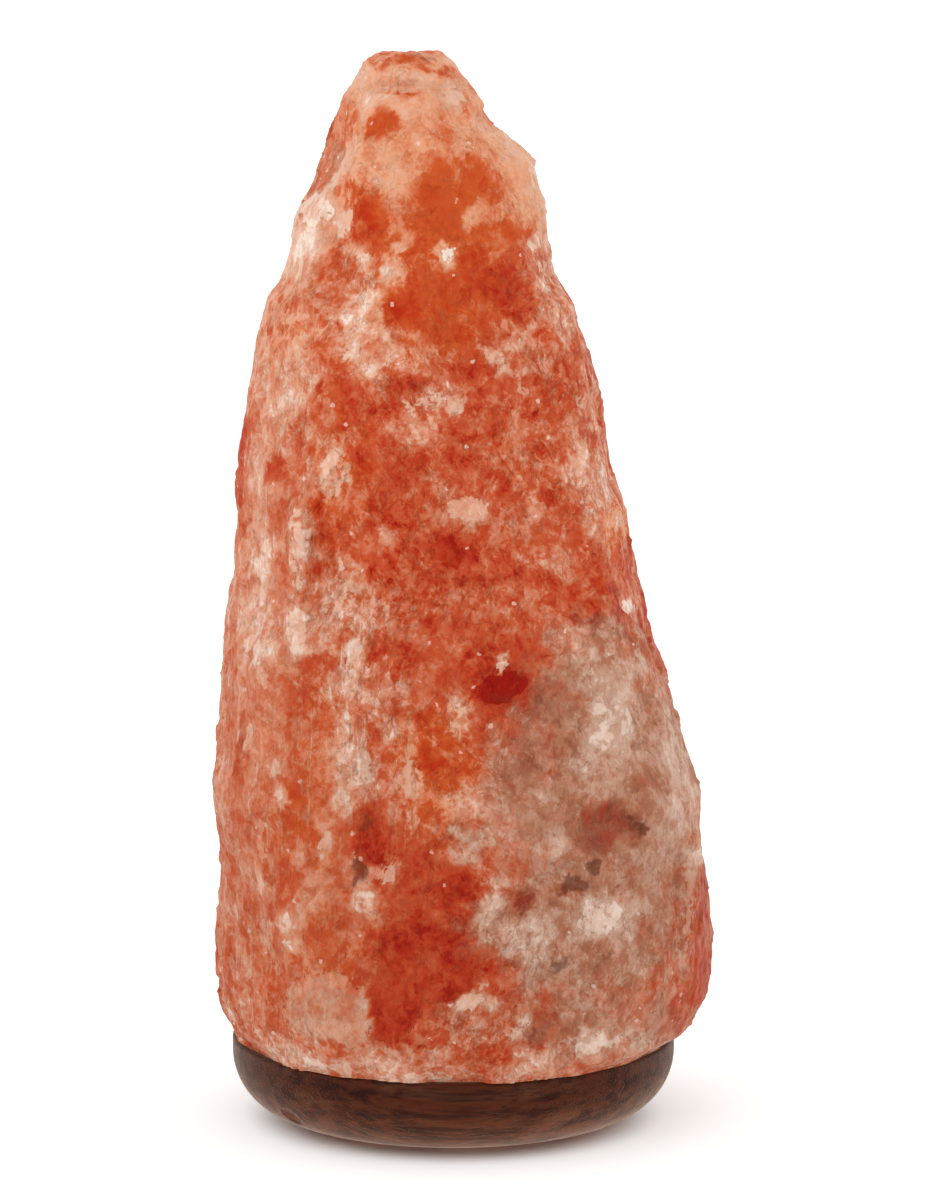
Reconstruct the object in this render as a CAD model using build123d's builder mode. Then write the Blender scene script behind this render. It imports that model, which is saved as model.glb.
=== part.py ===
from build123d import *
import os
from math import cos, copysign, pi, radians, sin, sqrt

# ---------------------------------------------------------------- driving sizes, in millimetres

# Wooden base
base_diameter = 142
base_thickness = 25
base_lower_round = 20
base_upper_round = 1.2
holder_hole_diameter = 44
recess_diameter = 60
recess_depth = 10
cord_channel_width = 9
cord_channel_depth = 9
dent_radius = 12
dent_distance = 74.5
dent_angle = 220

# Rubber feet
foot_diameter = 14
foot_height = 2
foot_edge = 0.6
foot_circle = 84
foot_angles = (45, 135, 225, 315)

# Wood screws that hold the base to the crystal, and the plugs that they bite into
screw_angles = (0, 180, 270)
screw_circle = 82
screw_length = 50
screw_point_length = 8
screw_point_diameter = 1
screw_diameter = 4
screw_head_diameter = 8
screw_sink = 0.4
screw_seat_play = 0.05
screw_slot_width = 1.2
screw_slot_depth = 1.2
screw_hole_play = 0.3
plug_diameter = 8
plug_length = 30
plug_bore_play = 0.05
plug_hole_play = 0.1

# Salt crystal, and its sections as drawn: height above the base, then how far it reaches left,
# right, forward and back
crystal_height = 313
crystal_sections = (
    (0, -69, 69, -69, 69),
    (5, -73.5, 78, -72, 72),
    (14, -76, 81.5, -75, 73),
    (32, -76, 83, -77, 74),
    (58, -74.5, 79.5, -76, 73),
    (80, -77, 79, -75, 71),
    (100, -75, 72, -73, 68),
    (125, -73.5, 65, -70, 65),
    (150, -69.5, 58.5, -67, 62),
    (172, -68.5, 54, -64, 58),
    (180, -68.5, 50.8, -62, 57),
    (205, -64.5, 46.5, -58, 52),
    (222, -63, 42.5, -55, 48),
    (236, -58.5, 38, -51, 44),
    (244, -53.5, 32.5, -48, 41),
    (262, -48.5, 28.5, -43, 36),
    (280, -43.5, 23.5, -38, 32),
    (290, -39, 14.5, -34, 28),
    (302, -32.5, 6.5, -29, 23),
    (309, -28, 0.5, -24, 18),
    (313, -24, -4, -20, 13),
)
crystal_corners = 18
crystal_squareness = 0.9
crystal_roughness = 0.035
crystal_wave = 45
# How far its corners stand in or out where it was broken, and how far from its top and its foot
# that fades
crystal_breaks = 2.2
crystal_calm_edge = 28
# Flat faces hewn into it, as drawn: a point on each, with its height above the base, and where
# it faces
crystal_hewn_faces = (
    ((-39.5, -14, 282), (-0.84, -0.42, 0.34)),
    ((30, -56, 132), (0.42, -0.88, 0.2)),
    ((-24, -66.5, 96), (-0.3, -0.95, 0.08)),
    ((10, 66, 90), (0.15, 0.97, 0.12)),
    ((62, 46, 60), (0.72, 0.66, 0.2)),
    ((-60, 42, 130), (-0.72, 0.66, 0.16)),
    ((20, 40, 240), (0.55, 0.7, 0.4)),
)
# Round hollows broken out of its front, as drawn: a point on the rock with its height above the
# base, where it faces, and the radius and depth of the hollow
crystal_hollows = (
    ((47, -59.5, 78), (0.46, -0.89, 0.04), 18, 2.8),
    ((15.5, -65, 122.5), (0.42, -0.88, 0.2), 13, 2.4),
    ((-13, -28, 304), (0.12, -0.79, 0.61), 8, 1.5),
)
cavity_diameter = 62
cavity_depth = 110
cavity_end_round = 8

# Lamp holder
cord_bend_room = 11
cord_hole_diameter = 6.6
cord_collar_diameter = 14
cord_collar_height = 6
holder_diameter = 26
holder_shoulder = 5
cap_height = 17
cap_floor = 2
cap_wall = 1.8
core_diameter = 19
core_height = 10
core_ledge = 0.7
spigot_height = 6
barrel_height = 26
barrel_bore_diameter = 16.4
holder_edge_round = 0.8
fit_play = 0.1
lock_screw_diameter = 3
lock_screw_length = 3

# Screw thread of the lamp cap: the small Edison thread, 14 mm
thread_pitch = 2.822
thread_bead_radius = 0.4
shell_bore_diameter = 14.3
shell_wall = 0.35
shell_height = 18
shell_bead_turns = 4.5
shell_bead_start = 3
shell_bead_reach = 0.55
shell_floor = 0.4
shell_floor_hole_diameter = 10.4
rivet_diameter = 1
rivet_head_diameter = 1.8
rivet_head_height = 0.5
rivet_circle = 12.4
rivet_angles = (0, 120, 240)

# Centre contact
strip_thickness = 0.3
tongue_width = 3
tongue_root = -2.6
foot_strip_length = 1.9
strip_gap = 0.2
contact_height = 2.6
tongue_reach = 2.8
tongue_tip = 2
tongue_tip_drop = 0.5
tongue_bend_radius = 0.8

# Terminals
terminal_width = 4
terminal_depth = 5
terminal_height = 9
terminal_pocket = 6
terminal_offset = 4.8
wire_hole_diameter = 2.4
wire_hole_depth = 5
terminal_screw_diameter = 2
terminal_screw_head = 3
terminal_screw_head_height = 1.1
terminal_screw_length = 1.4
terminal_screw_height = 1.4

# Spring clip
clip_thickness = 0.6
clip_collar_height = 8
clip_collar_drop = 10
clip_pad_width = 9
clip_ear_length = 6
clip_ear_gap = 2
clip_screw_diameter = 2.5
clip_screw_head = 4.4
clip_screw_head_height = 1.6
clip_nut_width = 5
clip_nut_height = 2
wing_thickness = 0.5
wing_width = 9
wing_play = 0.3
wing_gap = 0.2
wing_touch_drop = 5
wing_curl = 6
wing_curl_angle = 35
wing_bend_radius = 2.5

# Bulb
bulb_gap = 0.1
button_diameter = 4.8
button_height = 1.5
insulator_height = 2.8
insulator_spigot = 1.5
bulb_cap_diameter = 12.4
bulb_cap_wall = 0.3
bulb_cap_thread_height = 11.5
bulb_cap_skirt_height = 7
bulb_cap_skirt_diameter = 14.6
bulb_cap_lip = 1
bulb_bead_reach = 0.7
bulb_bead_offset = 2.5
bulb_bead_turns = 2.8
bulb_diameter = 25
bulb_neck_diameter = 12.6
bulb_neck_overlap = 5
bulb_glass_height = 41
bulb_neck_height = 6.5
bulb_belly_height = 19
glass_wall = 0.7
stem_tube_diameter = 4.8
stem_height = 17
stem_press_height = 6
stem_press_width = 7
stem_rod_diameter = 2
stem_rod_height = 5
lead_wire_diameter = 0.6
lead_spacing = 4
support_wire_diameter = 0.4
support_embedded_at = 0.6
support_count = 3
filament_diameter = 0.5
filament_radius = 7.5
filament_gap_angle = 80

# ---------------------------------------------------------------- heights that follow from them

base_radius = base_diameter / 2
holder_radius = holder_diameter / 2
base_bottom = foot_height
base_top = base_bottom + base_thickness
collar_bottom = base_bottom + cord_bend_room
cap_bottom = collar_bottom + cord_collar_height
cap_top = cap_bottom + cap_height
core_bottom = cap_top - spigot_height
barrel_top = cap_top + barrel_height
core_top = core_bottom + core_height
rivet_length = core_height - terminal_pocket - fit_play
touch_height = core_top + contact_height
button_bottom = touch_height + bulb_gap
insulator_bottom = button_bottom + button_height
bulb_cap_bottom = insulator_bottom + insulator_height
shell_bead_bottom = core_top + shell_bead_start
bulb_bead_bottom = shell_bead_bottom + bulb_bead_offset * thread_pitch
bulb_skirt_bottom = bulb_cap_bottom + bulb_cap_thread_height
bulb_cap_top = bulb_skirt_bottom + bulb_cap_skirt_height
glass_bottom = bulb_cap_top - bulb_neck_overlap
glass_top = glass_bottom + bulb_glass_height
crystal_stretch = crystal_height / crystal_sections[-1][0]

os.makedirs("parts", exist_ok=True)


def at_angle(circle, angle, height=0):
    """A point on a circle of this diameter, at this angle and height."""
    return (circle / 2 * cos(radians(angle)), circle / 2 * sin(radians(angle)), height)


# ---------------------------------------------------------------- wooden base

under_base = [Plane(at_angle(screw_circle, a, base_bottom), z_dir=(0, 0, -1)) for a in screw_angles]

with BuildPart() as wood_base:
    with BuildSketch(Plane.XZ):
        with BuildLine():
            flat_radius = base_radius - base_lower_round
            Line((0, base_bottom), (flat_radius, base_bottom))
            RadiusArc(
                (flat_radius, base_bottom),
                (base_radius, base_bottom + base_lower_round),
                -base_lower_round,
            )
            Line((base_radius, base_bottom + base_lower_round), (base_radius, base_top))
            Line((base_radius, base_top), (0, base_top))
            Line((0, base_top), (0, base_bottom))
        make_face()
    revolve(axis=Axis.Z)
    fillet(wood_base.faces().sort_by(Axis.Z)[-1].edges(), base_upper_round)
    with Locations((0, 0, base_bottom)):
        Cylinder(
            recess_diameter / 2,
            recess_depth,
            align=(Align.CENTER, Align.CENTER, Align.MIN),
            mode=Mode.SUBTRACT,
        )
        Cylinder(
            holder_hole_diameter / 2,
            base_thickness,
            align=(Align.CENTER, Align.CENTER, Align.MIN),
            mode=Mode.SUBTRACT,
        )
        Box(
            cord_channel_width,
            base_radius,
            cord_channel_depth,
            align=(Align.CENTER, Align.MIN, Align.MIN),
            mode=Mode.SUBTRACT,
        )
    with Locations(*under_base):
        CounterSinkHole(
            screw_diameter / 2 + screw_hole_play,
            screw_head_diameter / 2 + screw_sink + screw_seat_play,
            counter_sink_angle=90,
        )
    with Locations(at_angle(2 * dent_distance, dent_angle, base_bottom)):
        Sphere(dent_radius, mode=Mode.SUBTRACT)
wood_base.part.label = "wood_base"
export_step(wood_base.part, "parts/wood_base.step")

# ---------------------------------------------------------------- rubber feet

for number, angle in enumerate(foot_angles, start=1):
    with BuildPart() as foot:
        with BuildSketch(Plane(at_angle(foot_circle, angle))):
            Circle(foot_diameter / 2)
        extrude(amount=foot_height)
        chamfer(foot.faces().sort_by(Axis.Z)[0].edges(), foot_edge)
    foot.part.label = f"foot_{number}"
    export_step(foot.part, f"parts/foot_{number}.step")

# ---------------------------------------------------------------- screws and plugs

screw_bottom = base_bottom + screw_sink
screw_head_height = (screw_head_diameter - screw_diameter) / 2

with BuildPart() as base_screws:
    for angle in screw_angles:
        screw_foot = at_angle(screw_circle, angle, screw_bottom)
        with BuildSketch(Plane(screw_foot, x_dir=(1, 0, 0), z_dir=(0, -1, 0))):
            with BuildLine():
                Polyline(
                    (0, 0),
                    (screw_head_diameter / 2, 0),
                    (screw_diameter / 2, screw_head_height),
                    (screw_diameter / 2, screw_length - screw_point_length),
                    (screw_point_diameter / 2, screw_length),
                    (0, screw_length),
                    close=True,
                )
            make_face()
        revolve(axis=Axis(screw_foot, (0, 0, 1)))
    with Locations(*[at_angle(screw_circle, a, screw_bottom) for a in screw_angles]):
        Box(
            screw_head_diameter,
            screw_slot_width,
            2 * screw_slot_depth,
            mode=Mode.SUBTRACT,
        )
base_screws.part.label = "base_screws"
export_step(base_screws.part, "parts/base_screws.step")

plug_seats = [at_angle(screw_circle, a, base_top) for a in screw_angles]

with BuildPart() as screw_plugs:
    with Locations(*plug_seats):
        Cylinder(plug_diameter / 2, plug_length, align=(Align.CENTER, Align.CENTER, Align.MIN))
        Cylinder(
            screw_diameter / 2 + plug_bore_play,
            plug_length,
            align=(Align.CENTER, Align.CENTER, Align.MIN),
            mode=Mode.SUBTRACT,
        )
screw_plugs.part.label = "screw_plugs"
export_step(screw_plugs.part, "parts/screw_plugs.step")

# ---------------------------------------------------------------- salt crystal


def crystal_outline(height, left, right, front, back):
    """The corners of the crystal's cross-section at one height, uneven as hewn rock is."""
    corners = []
    for corner in range(crystal_corners):
        angle = 2 * pi * corner / crystal_corners
        across = copysign(abs(cos(angle)) ** crystal_squareness, cos(angle))
        along = copysign(abs(sin(angle)) ** crystal_squareness, sin(angle))
        swing = sin(3 * angle + height / crystal_wave) + sin(5 * angle - 2 * height / crystal_wave) / 2
        bulge = 1 + crystal_roughness * swing * abs(sin(angle))
        edge = min(height, crystal_sections[-1][0] - height) / crystal_calm_edge
        out = crystal_breaks * min(1, edge) * sin(2.3 * corner + height / 9) * abs(sin(angle)) ** 0.6
        corners.append(
            (
                (left + right) / 2 + (right - left) / 2 * across * bulge + out * cos(angle),
                (front + back) / 2 + (back - front) / 2 * along * bulge + out * sin(angle),
            )
        )
    return corners


with BuildPart() as salt_crystal:
    for height, left, right, front, back in crystal_sections:
        with BuildSketch(Plane.XY.offset(base_top + height * crystal_stretch)):
            with BuildLine():
                Polyline(*crystal_outline(height, left, right, front, back), close=True)
            make_face()
    loft(ruled=True)
    for (x, y, height), facing in crystal_hewn_faces:
        on_face = (x, y, base_top + height * crystal_stretch)
        split(bisect_by=Plane(on_face, z_dir=facing), keep=Keep.BOTTOM)
    for (x, y, height), facing, radius, depth in crystal_hollows:
        on_rock = Vector(x, y, base_top + height * crystal_stretch)
        with Locations(on_rock + Vector(facing).normalized() * (radius - depth)):
            Sphere(radius, mode=Mode.SUBTRACT)
    with BuildSketch(Plane.XY.offset(base_top)):
        Circle(cavity_diameter / 2)
    extrude(amount=cavity_depth, mode=Mode.SUBTRACT)
    cavity_end = salt_crystal.faces().filter_by(Plane.XY).sort_by(
        lambda face: abs(face.center().Z - base_top - cavity_depth)
    )[0]
    fillet(cavity_end.edges(), cavity_end_round)
    with Locations(*plug_seats):
        Cylinder(
            plug_diameter / 2 + plug_hole_play,
            plug_length + plug_hole_play,
            align=(Align.CENTER, Align.CENTER, Align.MIN),
            mode=Mode.SUBTRACT,
        )
salt_crystal.part.label = "salt_crystal"
export_step(salt_crystal.part, "parts/salt_crystal.step")

# ---------------------------------------------------------------- lamp holder


def turned(*profile):
    """Turn a profile of radius and height points about the lamp's axis."""
    with BuildSketch(Plane.XZ) as half:
        with BuildLine():
            Polyline(*profile, close=True)
        make_face()
    revolve(half.sketch, axis=Axis.Z)


cord_hole_radius = cord_hole_diameter / 2
collar_radius = cord_collar_diameter / 2
core_radius = core_diameter / 2
cap_room_radius = core_radius - core_ledge
cap_bore_radius = holder_radius - cap_wall
cap_room_bottom = cap_bottom + cap_floor
lock_screw_height = (collar_bottom + cap_bottom) / 2
lock_screw_end = collar_radius - fit_play

with BuildPart() as holder_cap:
    turned(
        (cord_hole_radius, collar_bottom),
        (collar_radius, collar_bottom),
        (collar_radius, cap_bottom),
        (holder_radius - holder_shoulder, cap_bottom),
        (holder_radius, cap_bottom + holder_shoulder),
        (holder_radius, cap_top),
        (cap_bore_radius, cap_top),
        (cap_bore_radius, core_bottom),
        (cap_room_radius, core_bottom),
        (cap_room_radius, cap_room_bottom),
        (cord_hole_radius, cap_room_bottom),
    )
    with BuildSketch(Plane.XZ):
        with Locations((0, lock_screw_height)):
            Circle(lock_screw_diameter / 2 + fit_play)
    extrude(amount=collar_radius, mode=Mode.SUBTRACT)
holder_cap.part.label = "holder_cap"
export_step(holder_cap.part, "parts/holder_cap.step")

with BuildPart() as cord_lock_screw:
    with BuildSketch(Plane.XZ.offset(lock_screw_end)):
        with Locations((0, lock_screw_height)):
            Circle(lock_screw_diameter / 2)
    extrude(amount=-lock_screw_length)
    with Locations((0, -lock_screw_end, lock_screw_height)):
        Box(
            lock_screw_diameter,
            lock_screw_length / 2,
            lock_screw_diameter / 5,
            mode=Mode.SUBTRACT,
        )
cord_lock_screw.part.label = "cord_lock_screw"
export_step(cord_lock_screw.part, "parts/cord_lock_screw.step")

with BuildPart() as holder_barrel:
    turned(
        (barrel_bore_diameter / 2, core_top + fit_play),
        (core_radius + fit_play, core_top + fit_play),
        (core_radius + fit_play, core_bottom + fit_play),
        (cap_bore_radius - fit_play, core_bottom + fit_play),
        (cap_bore_radius - fit_play, cap_top),
        (holder_radius, cap_top),
        (holder_radius, barrel_top),
        (barrel_bore_diameter / 2, barrel_top),
    )
    barrel_rim = holder_barrel.faces().sort_by(Axis.Z)[-1]
    fillet(barrel_rim.edges().sort_by(SortBy.LENGTH)[-1], holder_edge_round)
holder_barrel.part.label = "holder_barrel"
export_step(holder_barrel.part, "parts/holder_barrel.step")

terminal_seats = [(side * terminal_offset, 0, core_bottom + terminal_pocket) for side in (-1, 1)]
foot_strip_right = tongue_root - strip_gap
foot_rivet = (foot_strip_right - foot_strip_length / 2, 0, core_top)
rivet_seats = [at_angle(rivet_circle, a, core_top) for a in rivet_angles]

with BuildPart() as holder_core:
    turned((0, core_bottom), (core_radius, core_bottom), (core_radius, core_top), (0, core_top))
    with Locations(*terminal_seats):
        Box(
            terminal_width + 2 * fit_play,
            terminal_depth + 2 * fit_play,
            terminal_pocket,
            align=(Align.CENTER, Align.CENTER, Align.MAX),
            mode=Mode.SUBTRACT,
        )
    with Locations(foot_rivet, *rivet_seats):
        Hole(rivet_diameter / 2 + fit_play, core_height - terminal_pocket)
holder_core.part.label = "holder_core"
export_step(holder_core.part, "parts/holder_core.step")

# ---------------------------------------------------------------- terminals

screw_reach = terminal_offset + terminal_width / 2
terminal_top = core_bottom + terminal_pocket - fit_play
terminal_bottom = terminal_top - terminal_height
terminal_screw_level = terminal_bottom + terminal_screw_height

with BuildPart() as terminal_blocks:
    for side in (-1, 1):
        with Locations((side * terminal_offset, 0, terminal_top)):
            Box(
                terminal_width,
                terminal_depth,
                terminal_height,
                align=(Align.CENTER, Align.CENTER, Align.MAX),
            )
        with Locations(Plane((side * terminal_offset, 0, terminal_bottom), z_dir=(0, 0, -1))):
            Hole(wire_hole_diameter / 2, wire_hole_depth)
        with Locations(Plane((side * screw_reach, 0, terminal_screw_level), z_dir=(side, 0, 0))):
            Hole(terminal_screw_diameter / 2 + fit_play, terminal_width / 2)
terminal_blocks.part.label = "terminal_blocks"
export_step(terminal_blocks.part, "parts/terminal_blocks.step")

with BuildPart() as terminal_screws:
    for side in (-1, 1):
        head_face = Plane((side * screw_reach, 0, terminal_screw_level), z_dir=(side, 0, 0))
        with BuildSketch(head_face):
            Circle(terminal_screw_head / 2)
        extrude(amount=terminal_screw_head_height)
        with BuildSketch(head_face):
            Circle(terminal_screw_diameter / 2)
        extrude(amount=-terminal_screw_length)
        with BuildSketch(head_face.offset(terminal_screw_head_height)):
            Rectangle(terminal_screw_head / 6, terminal_screw_head)
        extrude(amount=-terminal_screw_head_height / 2, mode=Mode.SUBTRACT)
terminal_screws.part.label = "terminal_screws"
export_step(terminal_screws.part, "parts/terminal_screws.step")

# ---------------------------------------------------------------- thread shell and contacts


def thread_bead(bottom, turns, radius):
    """Wind the thread's round bead about the lamp's axis, right-handed, from this height up."""
    with BuildLine() as path:
        Helix(pitch=thread_pitch, height=turns * thread_pitch, radius=radius, center=(0, 0, bottom))
    with BuildSketch(Plane(path.line @ 0, z_dir=path.line % 0)) as bead:
        Circle(thread_bead_radius)
    sweep(bead.sketch, path=path.line, is_frenet=True)


shell_bore_radius = shell_bore_diameter / 2
shell_radius = shell_bore_radius + shell_wall

with BuildPart() as thread_shell:
    turned(
        (shell_floor_hole_diameter / 2, core_top),
        (shell_radius, core_top),
        (shell_radius, core_top + shell_height),
        (shell_bore_radius, core_top + shell_height),
        (shell_bore_radius, core_top + shell_floor),
        (shell_floor_hole_diameter / 2, core_top + shell_floor),
    )
    with Locations(*rivet_seats):
        Cylinder(rivet_diameter / 2 + fit_play, 3 * shell_floor, mode=Mode.SUBTRACT)
    thread_bead(
        shell_bead_bottom,
        shell_bead_turns,
        shell_bore_radius - shell_bead_reach + thread_bead_radius,
    )
thread_shell.part.label = "thread_shell"
export_step(thread_shell.part, "parts/thread_shell.step")

with BuildPart() as shell_rivets:
    for x, y, _ in rivet_seats:
        with BuildSketch(Plane((x, y, core_top + shell_floor))):
            Circle(rivet_head_diameter / 2)
        extrude(amount=rivet_head_height)
        with BuildSketch(Plane((x, y, core_top + shell_floor))):
            Circle(rivet_diameter / 2)
        extrude(amount=-shell_floor - rivet_length)
shell_rivets.part.label = "shell_rivets"
export_step(shell_rivets.part, "parts/shell_rivets.step")

with BuildPart() as contact_foot:
    with Locations((foot_strip_right, 0, core_top)):
        Box(
            foot_strip_length,
            tongue_width,
            strip_thickness,
            align=(Align.MAX, Align.CENTER, Align.MIN),
        )
    with Locations(foot_rivet):
        Cylinder(
            rivet_diameter / 2,
            rivet_length,
            align=(Align.CENTER, Align.CENTER, Align.MAX),
        )
        Cylinder(
            rivet_head_diameter / 2,
            strip_thickness + rivet_head_height,
            align=(Align.CENTER, Align.CENTER, Align.MIN),
        )
contact_foot.part.label = "contact_foot"
export_step(contact_foot.part, "parts/contact_foot.step")

tongue_bottom = core_top + strip_thickness / 2
tongue_peak = touch_height - strip_thickness / 2

with BuildPart() as contact_tongue:
    with BuildSketch(Plane.XZ):
        with BuildLine():
            FilletPolyline(
                (tongue_root, tongue_bottom),
                (tongue_root + tongue_reach, tongue_peak),
                (tongue_root + tongue_reach + tongue_tip, tongue_peak - tongue_tip_drop),
                radius=tongue_bend_radius,
            )
        trace(line_width=strip_thickness)
    extrude(amount=tongue_width / 2, both=True)
contact_tongue.part.label = "contact_tongue"
export_step(contact_tongue.part, "parts/contact_tongue.step")

# ---------------------------------------------------------------- spring clip

clip_top = barrel_top - clip_collar_drop
clip_bottom = clip_top - clip_collar_height
clip_bore_radius = holder_radius + fit_play
clip_radius = clip_bore_radius + clip_thickness
clip_screw_place = (0, -clip_radius - clip_ear_length / 2, (clip_top + clip_bottom) / 2)
ear_outside = clip_ear_gap / 2 + clip_thickness

with BuildPart() as clip_collar:
    turned(
        (clip_bore_radius, clip_bottom),
        (clip_radius, clip_bottom),
        (clip_radius, clip_top),
        (clip_bore_radius, clip_top),
    )
    with Locations((0, -clip_bore_radius, clip_bottom)):
        Box(
            2 * ear_outside,
            clip_thickness + clip_ear_length,
            clip_collar_height,
            align=(Align.CENTER, Align.MAX, Align.MIN),
        )
        Box(
            clip_ear_gap,
            2 * clip_ear_length + 2 * clip_thickness,
            clip_collar_height,
            align=(Align.CENTER, Align.CENTER, Align.MIN),
            mode=Mode.SUBTRACT,
        )
    for side in (-1, 1):
        with Locations((side * clip_radius, 0, clip_bottom)):
            Box(
                clip_thickness,
                clip_pad_width,
                clip_collar_height,
                align=(Align.CENTER, Align.CENTER, Align.MIN),
            )
    with Locations(Plane(clip_screw_place, z_dir=(1, 0, 0))):
        Cylinder(
            clip_screw_diameter / 2 + fit_play,
            2 * ear_outside,
            mode=Mode.SUBTRACT,
        )
clip_collar.part.label = "clip_collar"
export_step(clip_collar.part, "parts/clip_collar.step")

_, clip_screw_y, clip_screw_z = clip_screw_place
head_seat = Plane((ear_outside, clip_screw_y, clip_screw_z), z_dir=(1, 0, 0))
nut_seat = Plane((-ear_outside, clip_screw_y, clip_screw_z), z_dir=(-1, 0, 0))

with BuildPart() as clip_screw:
    with BuildSketch(head_seat):
        Circle(clip_screw_head / 2)
    extrude(amount=clip_screw_head_height)
    with BuildSketch(head_seat):
        Circle(clip_screw_diameter / 2)
    extrude(amount=-2 * ear_outside - clip_nut_height - clip_thickness)
    with BuildSketch(head_seat.offset(clip_screw_head_height)):
        Rectangle(clip_screw_head / 6, clip_screw_head)
    extrude(amount=-clip_screw_head_height / 2, mode=Mode.SUBTRACT)
clip_screw.part.label = "clip_screw"
export_step(clip_screw.part, "parts/clip_screw.step")

with BuildPart() as clip_nut:
    with BuildSketch(nut_seat):
        RegularPolygon(clip_nut_width / 2, 6, major_radius=False)
        Circle(clip_screw_diameter / 2 + fit_play, mode=Mode.SUBTRACT)
    extrude(amount=clip_nut_height)
clip_nut.part.label = "clip_nut"
export_step(clip_nut.part, "parts/clip_nut.step")

wing_reach = sqrt((holder_hole_diameter / 2 - wing_play) ** 2 - (wing_width / 2) ** 2)
wing_root = clip_radius
wing_top = clip_bottom - wing_gap
wing_touch = base_top - wing_touch_drop

for side, name in ((-1, "clip_wing_left"), (1, "clip_wing_right")):
    with BuildPart() as clip_wing:
        with BuildSketch(Plane.XZ):
            with BuildLine():
                FilletPolyline(
                    (side * wing_root, wing_top),
                    (side * (wing_reach - wing_thickness / 2), wing_touch),
                    (
                        side * (wing_reach - wing_curl * sin(radians(wing_curl_angle))),
                        wing_touch - wing_curl * cos(radians(wing_curl_angle)),
                    ),
                    radius=wing_bend_radius,
                )
            trace(line_width=wing_thickness)
        extrude(amount=wing_width / 2, both=True)
    clip_wing.part.label = name
    export_step(clip_wing.part, f"parts/{name}.step")

# ---------------------------------------------------------------- bulb

bulb_cap_radius = bulb_cap_diameter / 2
bulb_skirt_radius = bulb_cap_skirt_diameter / 2
insulator_bore = bulb_cap_radius - bulb_cap_lip

with BuildPart() as bulb_contact:
    turned(
        (0, button_bottom),
        (button_diameter / 3, button_bottom),
        (button_diameter / 2, button_bottom + button_height / 2),
        (button_diameter / 2, insulator_bottom),
        (0, insulator_bottom),
    )
bulb_contact.part.label = "bulb_contact"
export_step(bulb_contact.part, "parts/bulb_contact.step")

with BuildPart() as bulb_insulator:
    turned(
        (0, insulator_bottom),
        (button_diameter / 2 + fit_play, insulator_bottom),
        (bulb_cap_radius - bulb_cap_wall, bulb_cap_bottom - insulator_height / 3),
        (bulb_cap_radius - bulb_cap_wall, bulb_cap_bottom - fit_play),
        (insulator_bore - fit_play, bulb_cap_bottom - fit_play),
        (insulator_bore - fit_play, bulb_cap_bottom + insulator_spigot),
        (0, bulb_cap_bottom + insulator_spigot),
    )
bulb_insulator.part.label = "bulb_insulator"
export_step(bulb_insulator.part, "parts/bulb_insulator.step")

skirt_step = bulb_skirt_radius - bulb_cap_radius
shoulder_radius = bulb_skirt_radius - skirt_step / 3
shoulder_height = bulb_skirt_bottom + skirt_step

with BuildPart() as bulb_cap:
    turned(
        (insulator_bore, bulb_cap_bottom),
        (bulb_cap_radius - bulb_cap_wall, bulb_cap_bottom),
        (bulb_cap_radius, bulb_cap_bottom + bulb_cap_wall),
        (bulb_cap_radius, bulb_skirt_bottom),
        (shoulder_radius, shoulder_height),
        (bulb_skirt_radius, bulb_cap_top),
        (bulb_skirt_radius - bulb_cap_wall, bulb_cap_top),
        (shoulder_radius - bulb_cap_wall, shoulder_height + bulb_cap_wall),
        (bulb_cap_radius - bulb_cap_wall, bulb_skirt_bottom + bulb_cap_wall),
        (bulb_cap_radius - bulb_cap_wall, bulb_cap_bottom + 2 * bulb_cap_wall),
        (insulator_bore, bulb_cap_bottom + bulb_cap_wall),
    )
    thread_bead(
        bulb_bead_bottom,
        bulb_bead_turns,
        bulb_cap_radius + bulb_bead_reach - thread_bead_radius,
    )
bulb_cap.part.label = "bulb_cap"
export_step(bulb_cap.part, "parts/bulb_cap.step")


def bulb_shape(inset):
    """The bulb's half outline, from the open neck to the top, this far inside the glass's outside."""
    neck = bulb_neck_diameter / 2 - inset
    belly = bulb_diameter / 2 - inset
    crown = glass_top - bulb_diameter / 2
    with BuildLine() as half:
        Line((0, glass_bottom), (neck, glass_bottom))
        Line((neck, glass_bottom), (neck, glass_bottom + bulb_neck_height))
        Spline(
            (neck, glass_bottom + bulb_neck_height),
            (belly, glass_bottom + bulb_belly_height),
            tangents=((0, 1), (0, 1)),
        )
        Line((belly, glass_bottom + bulb_belly_height), (belly, crown))
        RadiusArc((belly, crown), (0, crown + belly), -belly)
        Line((0, crown + belly), (0, glass_bottom))
    make_face(half.edges())


with BuildPart() as bulb_glass:
    with BuildSketch(Plane.XZ):
        bulb_shape(0)
    revolve(axis=Axis.Z)
    with BuildSketch(Plane.XZ):
        bulb_shape(glass_wall)
    revolve(axis=Axis.Z, mode=Mode.SUBTRACT)
bulb_glass.part.label = "bulb_glass"
export_step(bulb_glass.part, "parts/bulb_glass.step")

stem_radius = stem_tube_diameter / 2
stem_bottom = glass_bottom + fit_play
flare_radius = bulb_neck_diameter / 2 - glass_wall - fit_play
flare_top = glass_bottom + bulb_neck_height - stem_radius
press_bottom = glass_bottom + stem_height - stem_press_height
press_top = glass_bottom + stem_height
rod_top = press_top + stem_rod_height
filament_height = rod_top + stem_rod_diameter
lead_x = lead_spacing / 2

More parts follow.
